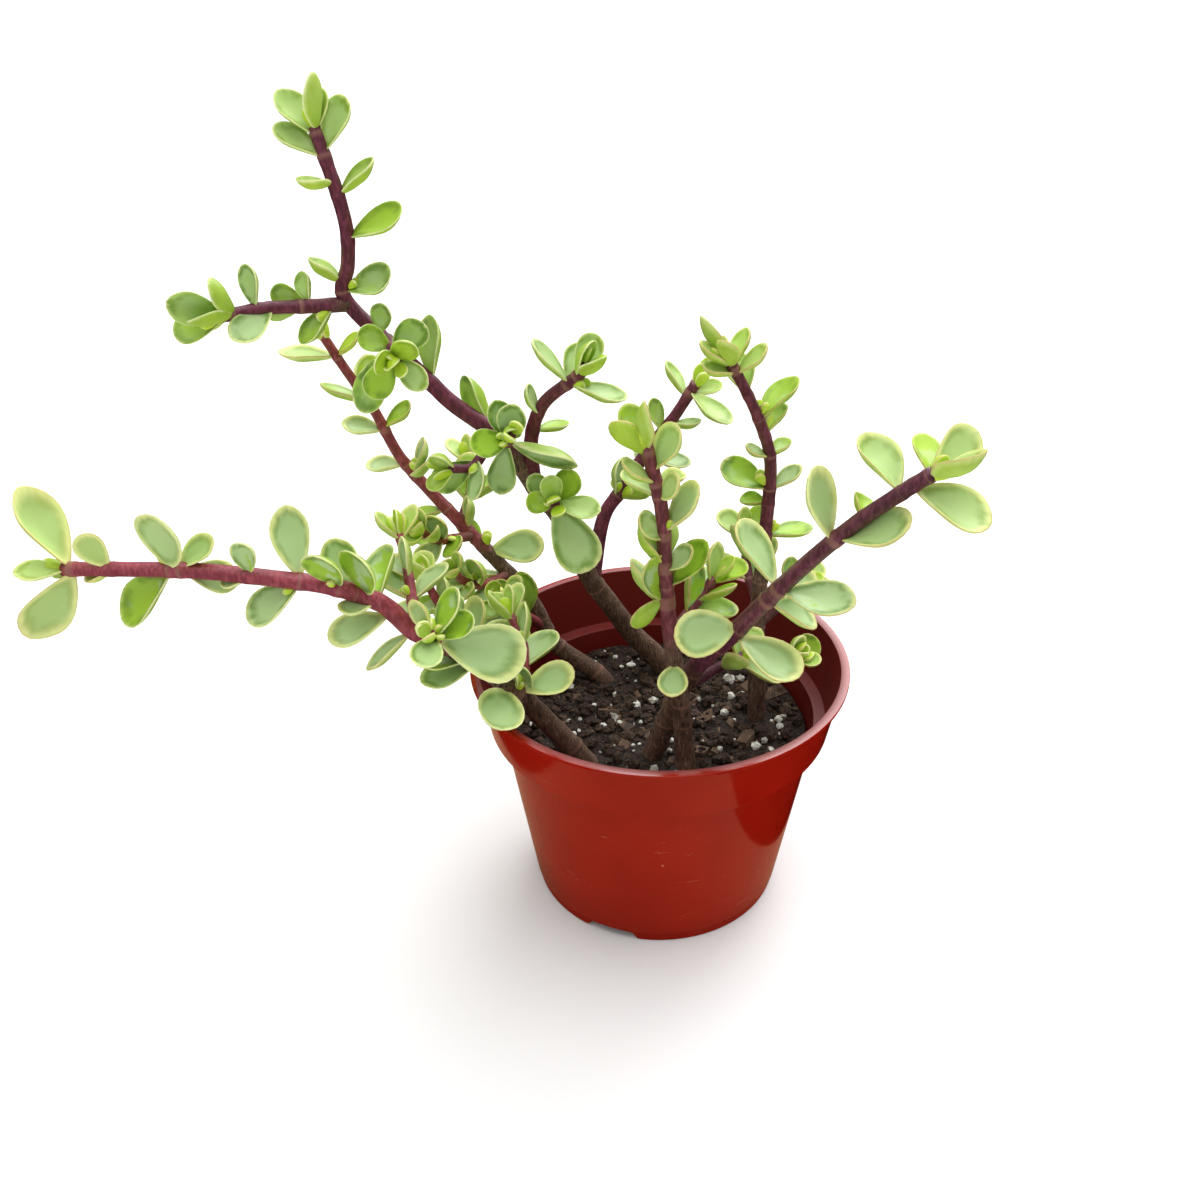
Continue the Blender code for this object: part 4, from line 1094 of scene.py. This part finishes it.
def leaf_finish(stem):
    margin_width, blueness, redness = LEAF_LOOKS[stem]
    finish = Finish(f"{stem}_leaves", subsurface_weight=0.12, subsurface_scale=1.2 * MM,
                    subsurface_radius=(0.6, 1.0, 0.3), specular_ior_level=0.45)
    margin = finish.attribute("margin")
    youth = finish.attribute("youth")
    chance = finish.attribute("chance")
    under = finish.attribute("underside")
    blade = finish.node("UVMap", {"uv_map": "blade"}, {})
    along = finish.node("SeparateXYZ", {}, {0: blade}, "X")
    across = finish.node("SeparateXYZ", {}, {0: blade}, "Y")
    tongues = finish.noise(finish.node("CombineXYZ", {}, {
        0: along * 2.2, 1: across * 7.0, 2: chance * 60}), 1.6, 3)
    clouds = finish.noise(finish.node("CombineXYZ", {}, {
        0: along * 2.0, 1: across * 2.4, 2: chance * 90}), 1.3, 2)
    pores = finish.noise(finish.place(), 2600, 2)
    reach = margin + 0.26 * (tongues - 0.5) + 0.16 * (clouds - 0.5)
    # The glaucous share is partly painted reflection of the sky.
    green = finish.blend(finish.step(chance + 0.7 * clouds, 1.25 - blueness, 0.45),
                         screen_colour(*GLAUCOUS_AND_SKY_SHEEN), screen_colour(*FRESH_GREEN))
    # Deeper green towards the margin: partly painted shade.
    deep = finish.step(reach, 0.5, 0.82) * finish.step(clouds, 0.36, 0.58)
    green = finish.blend(deep * 0.8, green, screen_colour(*DEEP_GREEN_AND_SHADE))
    green = finish.blend(under * 0.7, green, screen_colour(*UNDER_GREEN))
    green = finish.blend(youth * 0.85, green, screen_colour(*LIME))
    cream = finish.step(reach, 0.98 - margin_width * (0.35 + 1.3 * chance), 1.06)
    cream = cream * (1 - 0.45 * under)
    leaf = finish.blend(cream, green, screen_colour(*CREAM))
    # Rim line: its pale part is partly painted highlight, its red part the rim's own colour.
    rim = finish.step(margin, 0.9, 1.0) * (1 - under * 0.3)
    rim_colour = finish.blend(finish.step(chance + 0.3 * tongues, 1.3 - redness, 1.0),
                              screen_colour(*PALE_RIM_AND_HIGHLIGHT), screen_colour(*RED_RIM))
    leaf = finish.blend(rim * (0.2 + 0.7 * clouds), leaf, rim_colour)
    finish.wear(base_color=leaf, roughness=0.34 + 0.16 * pores + 0.08 * clouds)
    finish.bump(pores + 1.5 * clouds, 0.12 * MM, 0.35)
    return finish


# %% [markdown]
# Every leaf has its own seeded width, scoop and bend. Leaves near a shoot's tip are young,
# so they are lime, and the youngest two close the shoot as a bud.

# %% The leaves of a stem
def leaf_traits(leaf, rng):
    tip_share = min(1.0, max(0.0, (leaf["share"] - 0.72) / 0.28))
    small = min(1.0, max(0.0, (13 * MM - leaf["blade_length"]) / (5 * MM)))
    return {
        "width": LEAF_WIDTH_RATIO * rng.uniform(0.9, 1.14),
        "scoop": SCOOP * rng.uniform(0.5, 1.3),
        "bend": rng.uniform(-0.06, 0.03),
        "point": rng.uniform(0.0, 0.11),
        "youth": min(1.0, 0.75 * tip_share * (0.4 + 0.6 * small) + 0.25 * small * rng.random()),
        "chance": rng.random(),
    }


def bud_pair(shape, leaf, rng):
    """Two tiny leaves in the axil between a leaf and its stem."""
    length = rng.uniform(3.2, 5.0) * MM
    roll = leaf["roll"] + math.pi / 2
    outward = leaf["right"] * math.cos(leaf["roll"]) + leaf["away"] * math.sin(leaf["roll"])
    base = leaf["point"] + outward * leaf["radius"] * 0.6 + leaf["ahead"] * 1.0 * MM
    ahead = (outward * 0.7 + leaf["ahead"]).normalized()
    side = leaf["right"] * math.cos(roll) + leaf["away"] * math.sin(roll)
    for sign in (1, -1):
        axis = (ahead + side * 0.45 * sign).normalized()
        normal = (side * -sign + ahead * 0.2)
        normal = (normal - axis * normal.dot(axis)).normalized()
        turn = Matrix((axis, normal.cross(axis), normal)).transposed()
        grow_leaf(shape, Matrix.Translation(base) @ turn.to_4x4(), length, {
            "width": LEAF_WIDTH_RATIO, "scoop": 0.06, "bend": 0.0, "youth": 0.95,
            "point": 0.0, "chance": rng.random()})


def tip_bud(shape, plan, rng):
    """Two small lime leaves that close a shoot, pressed together like hands."""
    curve = smooth_route(plan["route"])
    along = distances(curve)
    point, ahead, right, away = frame_at(curve, along, along[-1])
    turn = rng.uniform(0, math.tau)
    side = right * math.cos(turn) + away * math.sin(turn)
    for sign in (1, -1):
        axis = (ahead + side * TIP_SPREAD * sign).normalized()
        normal = side * -sign
        normal = (normal - axis * normal.dot(axis)).normalized()
        basis = Matrix((axis, normal.cross(axis), normal)).transposed()
        length = rng.uniform(*TIP_LEAF)
        foot = point + side * 0.5 * MM * sign - ahead * 1.2 * MM
        grow_leaf(shape, Matrix.Translation(foot) @ basis.to_4x4(), length, {
            "width": LEAF_WIDTH_RATIO, "scoop": 0.1, "bend": 0.05, "youth": 1.0,
            "point": 0.0, "chance": rng.random()})


BUD_CHANCE = 0.22
TIP_LEAF = (5.5 * MM, 7.0 * MM)
TIP_SPREAD = 0.4                  # how far the two leaves that close a shoot part


def stem_leaves(stem, finish):
    rng = random.Random(f"{SEED} {stem}")
    shape = bmesh.new()
    leaf_layers(shape)
    for leaf in leaves:
        if leaf["stem"] != stem:
            continue
        grow_leaf(shape, leaf["matrix"], leaf["blade_length"], leaf_traits(leaf, rng))
        if rng.random() < BUD_CHANCE and leaf["share"] < 0.9:
            bud_pair(shape, leaf, rng)
    for plan in SHOOTS:
        if plan["stem"] == stem:
            tip_bud(shape, plan, rng)
    piece = mesh_object(f"{stem}_leaves", shape, finish)
    rounder = piece.modifiers.new("Round", "SUBSURF")
    rounder.levels = 1
    rounder.render_levels = 1
    return piece


for stem in STEMS:
    foliage = stem_leaves(stem, leaf_finish(stem))
    dress(foliage, stem)
    print(foliage.name, len(foliage.data.polygons) // (CAGE_SIDES * CAGE_ROWS), "leaves")

# %% [markdown]
# ## The pot
#
# The pot is blown or moulded thin plastic: a flat lip that turns outward, a collar that
# tapers to a soft ledge, a tapering body, and a foot ring with drain notches. It is a
# profile spun about the pot's axis. After the spin the foot ring's underside is lifted
# where a notch lies, and every hard edge gets a small bevel, because a glossy edge without
# one shows no highlight.

# %% Pot sizes
POT_HEIGHT = 74.4 * MM
LIP_RADIUS = 54.0 * MM
LIP_INNER_RADIUS = 51.5 * MM
LIP_THICK = 0.9 * MM
WALL = 0.9 * MM
COLLAR_TOP_RADIUS = 52.3 * MM
COLLAR_FOOT_RADIUS = 49.3 * MM
COLLAR_FOOT_HEIGHT = 57.0 * MM
BODY_TOP_RADIUS = 45.9 * MM
BODY_FOOT_RADIUS = 37.2 * MM
STEP_SLOPE = 0.4 * MM
FOOT_RADIUS = 36.5 * MM
FOOT_HEIGHT = 3.0 * MM
FOOT_WIDTH = 2.2 * MM
FLOOR_THICK = 1.2 * MM
PAD_RADIUS = 9.0 * MM
PAD_SLOPE = 2.0 * MM
POT_STEPS = 144
NOTCH_COUNT = 3
NOTCH_WIDTH = 15.0 * MM
NOTCH_HEIGHT = 2.2 * MM
NOTCH_FIRST_TURN = math.radians(-110.4)


def pot_profile():
    """From the middle of the underside out, up the outside, over the lip and down inside."""
    foot_inner = FOOT_RADIUS - FOOT_WIDTH
    return [
        (0, 0),
        (PAD_RADIUS, 0),
        (PAD_RADIUS + PAD_SLOPE, FOOT_HEIGHT),
        (foot_inner - STEP_SLOPE, FOOT_HEIGHT),
        (foot_inner, 0),
        (FOOT_RADIUS, 0),
        (FOOT_RADIUS, FOOT_HEIGHT - STEP_SLOPE),
        (BODY_FOOT_RADIUS, FOOT_HEIGHT),
        (BODY_TOP_RADIUS, COLLAR_FOOT_HEIGHT - STEP_SLOPE),
        (COLLAR_FOOT_RADIUS, COLLAR_FOOT_HEIGHT),
        (COLLAR_TOP_RADIUS, POT_HEIGHT - LIP_THICK - STEP_SLOPE),
        (LIP_RADIUS, POT_HEIGHT - LIP_THICK),
        (LIP_RADIUS, POT_HEIGHT),
        (LIP_INNER_RADIUS, POT_HEIGHT),
        (COLLAR_FOOT_RADIUS - WALL, COLLAR_FOOT_HEIGHT + WALL),
        (BODY_TOP_RADIUS - WALL, COLLAR_FOOT_HEIGHT + WALL - STEP_SLOPE),
        (BODY_FOOT_RADIUS - WALL + STEP_SLOPE, FOOT_HEIGHT + FLOOR_THICK),
        (0, FOOT_HEIGHT + FLOOR_THICK),
    ]


print("Points in the pot's profile:", len(pot_profile()))

# %% [markdown]
# The bevel's width is set by the thinnest step, the lip's edge. An attribute marks the
# inner side, which potting has left dull and dusty; its darker red is painted shade.

# %% Turning the pot
POT_BEVEL = 0.28 * MM


def in_notch(place):
    """Whether a point of the foot ring lies in one of the drain notches."""
    turn = math.atan2(place.y, place.x) - NOTCH_FIRST_TURN
    spacing = math.tau / NOTCH_COUNT
    off = abs((turn + spacing / 2) % spacing - spacing / 2)
    return off * FOOT_RADIUS < NOTCH_WIDTH / 2


def is_inside(place):
    """Whether a point of the pot lies on its inner side, above the foot."""
    if place.z > COLLAR_FOOT_HEIGHT + WALL / 2:
        low, high = COLLAR_FOOT_HEIGHT, POT_HEIGHT
        low_radius, high_radius = COLLAR_FOOT_RADIUS, COLLAR_TOP_RADIUS
    else:
        low, high = FOOT_HEIGHT, COLLAR_FOOT_HEIGHT
        low_radius, high_radius = BODY_FOOT_RADIUS, BODY_TOP_RADIUS
    wall = low_radius + (high_radius - low_radius) * (place.z - low) / (high - low)
    return place.z > FOOT_HEIGHT and place.xy.length < wall - WALL / 2


def turn_pot():
    shape = bmesh.new()
    points = [shape.verts.new((radius, 0, height)) for radius, height in pot_profile()]
    edges = [shape.edges.new(pair) for pair in zip(points, points[1:])]
    bmesh.ops.spin(shape, geom=points + edges, cent=(0, 0, 0), axis=(0, 0, 1),
                   angle=math.tau, steps=POT_STEPS, use_merge=True)
    bmesh.ops.remove_doubles(shape, verts=shape.verts, dist=0.01 * MM)
    bmesh.ops.recalc_face_normals(shape, faces=shape.faces)
    for vert in shape.verts:
        if vert.co.z < 0.1 * MM and vert.co.xy.length > PAD_RADIUS + PAD_SLOPE:
            if in_notch(vert.co):
                vert.co.z = NOTCH_HEIGHT
    sharp = [edge for edge in shape.edges if edge.calc_face_angle(0) > math.radians(25)]
    bmesh.ops.bevel(shape, geom=sharp, offset=POT_BEVEL, segments=2, profile=0.5,
                    affect="EDGES", material=-1, clamp_overlap=True)
    inside = shape.verts.layers.float.new("inside")
    for vert in shape.verts:
        vert[inside] = float(is_inside(vert.co))
    return shape


print("The rim is on the inner side:", is_inside(Vector((LIP_INNER_RADIUS, 0, POT_HEIGHT))))


# %% [markdown]
# Red plastic shows its surroundings in a clear, slightly wavy gloss. It carries faint
# scuffs and dust and a mould's sprue dot low on the front.

# %% Pot finish
POT_RED = (142, 17, 4)
POT_BRIGHT = (152, 22, 6)
# painted shade: the darker red of the pot's inner side
POT_INSIDE_SHADE = (92, 12, 6)
SPRUE_PLACE = (2.0 * MM, -42.2 * MM, 34.0 * MM)
SPRUE_RADIUS = 0.55 * MM


def pot_finish():
    finish = Finish("red_plastic", specular_ior_level=0.5, subsurface_weight=0.05,
                    subsurface_scale=1.0 * MM)
    place = finish.place()
    cloud = finish.noise(place, 38, 3)
    speck = finish.noise(place, 1500, 2)
    wave = finish.noise(finish.place((1, 1, 0.5)), 55, 1)
    scuff = finish.noise(finish.place((1, 1, 7)), 160, 4, 1.5)
    scuffs = finish.step(scuff, 0.66, 0.74) * finish.step(cloud, 0.5, 0.62)
    red = finish.blend(finish.step(cloud, 0.3, 0.7), screen_colour(*POT_RED),
                       screen_colour(*POT_BRIGHT))
    red = finish.blend(0.22 * scuffs, red, screen_colour(226, 150, 140))
    away = finish.node("VectorMath", {"operation": "DISTANCE"},
                       {0: place, 1: SPRUE_PLACE}, "Value")
    sprue = finish.step(away, SPRUE_RADIUS, 0.4 * SPRUE_RADIUS)
    red = finish.blend(0.6 * sprue, red, screen_colour(220, 120, 105))
    # The inner side is rougher, and its darker red is painted shade.
    inside = finish.attribute("inside")
    red = finish.blend(0.75 * inside, red, screen_colour(*POT_INSIDE_SHADE))
    finish.wear(base_color=red,
                roughness=0.07 + 0.06 * speck + 0.3 * scuffs + 0.4 * inside)
    finish.bump(wave + 0.02 * speck + 0.6 * sprue, 0.15 * MM, 0.35)
    return finish


pot = mesh_object("pot_shell", turn_pot(), pot_finish())
dress(pot, "pot")
flat_walls = pot.modifiers.new("Flat walls", "WEIGHTED_NORMAL")
flat_walls.weight = 100
print("Pot:", len(pot.data.polygons), "faces")

# %% [markdown]
# ## Soil
#
# Potting mix is no flat brown disc. Its bed is uneven, and on it lie crumbs, bark chips
# and white perlite. The bed is one spun profile whose top is lifted by a height formula,
# and everything that lies on it reads the same formula.

# %% The soil's height
SOIL_LOW, SOIL_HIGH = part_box("soil")
SOIL_RADIUS = SOIL_HIGH[0] - 0.2 * MM
SOIL_HEIGHT = 51.5 * MM
SOIL_ROUGHNESS = 1.6 * MM
SOIL_WAVE = 9.0 * MM
SOIL_GRAIN = 3.5 * MM
BED_RINGS = 64
BED_STEPS = 176


def soil_height(x, y):
    """The height of the soil's top at a place: the CAD's waves with finer ones on them."""
    coarse = noise.noise(Vector((x, y, 0)) / SOIL_WAVE)
    fine = noise.noise(Vector((x, y, SOIL_WAVE)) / SOIL_GRAIN)
    crumbs = noise.noise(Vector((x, y, 0)) / (1.5 * MM))
    return SOIL_HEIGHT + SOIL_ROUGHNESS * (coarse + 0.5 * fine) + 0.5 * MM * crumbs


def soil_bed():
    shape = bmesh.new()
    low_radius = BODY_FOOT_RADIUS - 2 * WALL
    profile = [(0, SOIL_LOW[2]), (low_radius, SOIL_LOW[2])]
    profile += [(SOIL_RADIUS * (1 - ring / BED_RINGS), SOIL_HEIGHT)
                for ring in range(BED_RINGS + 1)]
    points = [shape.verts.new((radius, 0, height)) for radius, height in profile]
    edges = [shape.edges.new(pair) for pair in zip(points, points[1:])]
    bmesh.ops.spin(shape, geom=points + edges, cent=(0, 0, 0), axis=(0, 0, 1),
                   angle=math.tau, steps=BED_STEPS, use_merge=True)
    bmesh.ops.remove_doubles(shape, verts=shape.verts, dist=0.005 * MM)
    for vert in shape.verts:
        if vert.co.z > SOIL_HEIGHT - 1 * MM:
            vert.co.z = soil_height(vert.co.x, vert.co.y)
    return shape


print("Soil radius in mm:", round(SOIL_RADIUS / MM, 1))

# %% [markdown]
# Moist peat is nearly black with rusty brown fibres. The same finish, in a lighter brown,
# serves the crumbs.

# %% Soil finish
def soil_finish(name, dark, light, scale):
    finish = Finish(name, specular_ior_level=0.35)
    place = finish.place()
    clods = finish.cells(place, 0.5 * scale)
    crumbs = finish.noise(place, scale, 4, 0.5)
    flecks = finish.step(finish.noise(place, 2.4 * scale, 2), 0.64, 0.72)
    soil = finish.blend(finish.step(crumbs, 0.35, 0.7), screen_colour(*dark),
                        screen_colour(*light))
    soil = finish.blend(0.5 * flecks, soil, screen_colour(150, 122, 96))
    finish.wear(base_color=soil, roughness=0.78 + 0.2 * crumbs)
    finish.bump(crumbs + 0.6 * clods, 0.9 * MM, 0.9)
    return finish


bed = mesh_object("soil_bed", soil_bed(), soil_finish("peat", (18, 12, 9), (58, 40, 30), 900))
dress(bed, "soil")
print("Soil bed:", len(bed.data.polygons), "faces")


# %% [markdown]
# Crumbs, chips and perlite are loose grains with broken, angular sides. Each starts as a
# ball of 20 faces or a block of 6, is pushed out of shape by noise, is flattened and turned,
# and is laid half sunk on the bed. Flat shading keeps the facets crisp. None may lie inside
# a stem.

# %% One grain
grain_ball = unit_mesh("grain_ball", lambda shape: bmesh.ops.create_icosphere(
    shape, subdivisions=1, radius=1.0))
grain_block = unit_mesh("grain_block", lambda shape: bmesh.ops.create_cube(shape, size=2.0))
print("Faces of a grain:", len(grain_ball.polygons), "or", len(grain_block.polygons))


def free_place(rng, room):
    """A seeded place on the soil that no stem takes up."""
    while True:
        reach = (SOIL_RADIUS - room) * math.sqrt(rng.random())
        turn = rng.uniform(0, math.tau)
        x = reach * math.cos(turn)
        y = reach * math.sin(turn)
        spot = Vector((x, y, soil_height(x, y)))
        near = [tree.find_nearest(spot, room + 1 * MM) for stem, tree in barks_felt]
        if all(found[0] is None for found in near):
            return spot


def grow_grain(shape, unit, spot, size, squash, rng, sink=0.2):
    """One grain: a ball or a block, dented, flattened, turned and half sunk."""
    made = add_copy(shape, unit)
    offset = Vector((rng.uniform(-50, 50), rng.uniform(-50, 50), rng.uniform(-50, 50)))
    turn = Matrix.Rotation(rng.uniform(0, math.tau), 3, "Z")
    tilt = Matrix.Rotation(rng.uniform(-0.5, 0.5), 3, "X")
    for vert in made:
        dent = 1 + 0.42 * noise.noise(vert.co * 1.7 + offset)
        vert.co = Vector((vert.co.x * squash[0], vert.co.y * squash[1],
                          vert.co.z * squash[2])) * dent * size
        vert.co = turn @ (tilt @ vert.co) + spot
        vert.co.z += 0.5 * size * squash[2] * (1 - sink)


def scatter(name, count, sizes, squash, finish, seed, unit=grain_ball):
    """A piece of loose grains, more of them small than large."""
    rng = random.Random(f"{SEED} {seed}")
    shape = bmesh.new()
    for _ in range(count):
        size = sizes[0] + (sizes[1] - sizes[0]) * rng.random() ** 2.2
        stretch = tuple(rng.uniform(*share) for share in squash)
        spot = free_place(rng, size * max(stretch))
        grow_grain(shape, unit, spot, size, stretch, rng)
    piece = mesh_object(name, shape, finish, smooth=False)
    dress(piece, "soil")
    print(name, len(piece.data.polygons), "faces")
    return piece


# %% [markdown]
# Perlite is blown volcanic glass: white, rough and full of pores. Bark chips are flat and
# angular, in several browns.

# %% Grain finishes
def perlite_finish():
    finish = Finish("perlite", specular_ior_level=0.3)
    place = finish.place()
    pores = finish.cells(place, 1500)
    stain = finish.noise(place, 320, 3)
    white = finish.blend(finish.step(stain, 0.4, 0.65), screen_colour(226, 224, 216),
                         screen_colour(150, 144, 132))
    white = finish.blend(0.5 * finish.step(pores, 0.3, 0.1), white, screen_colour(96, 90, 82))
    finish.wear(base_color=white, roughness=0.75 + 0.2 * stain)
    finish.bump(pores, 0.4 * MM, 0.6)
    return finish


def chip_finish():
    finish = Finish("bark_chips", specular_ior_level=0.35)
    grain = finish.noise(finish.place((1, 0.25, 1)), 1500, 4, 0.8)
    patch = finish.noise(finish.place(), 160, 2)
    brown = finish.blend(finish.step(patch, 0.35, 0.65), screen_colour(46, 34, 27),
                         screen_colour(96, 74, 58))
    brown = finish.blend(finish.step(grain, 0.55, 0.75), brown, screen_colour(152, 122, 94))
    finish.wear(base_color=brown, roughness=0.7 + 0.25 * grain)
    finish.bump(grain, 0.5 * MM, 0.8)
    return finish


# %% [markdown]
# The grains lie evenly over the bed, clear of the stems.

# %% Scatter the grains
scatter("soil_crumbs", 900, (0.6 * MM, 2.6 * MM), ((0.7, 1.2), (0.7, 1.2), (0.5, 0.9)),
        soil_finish("crumbs", (26, 18, 13), (78, 56, 42), 1200), "crumbs")
scatter("bark_chips", 130, (1.0 * MM, 3.2 * MM), ((0.9, 1.5), (0.4, 0.8), (0.15, 0.35)),
        chip_finish(), "chips", grain_block)
scatter("perlite", 170, (0.5 * MM, 1.9 * MM), ((0.8, 1.2), (0.8, 1.1), (0.6, 0.9)),
        perlite_finish(), "perlite")
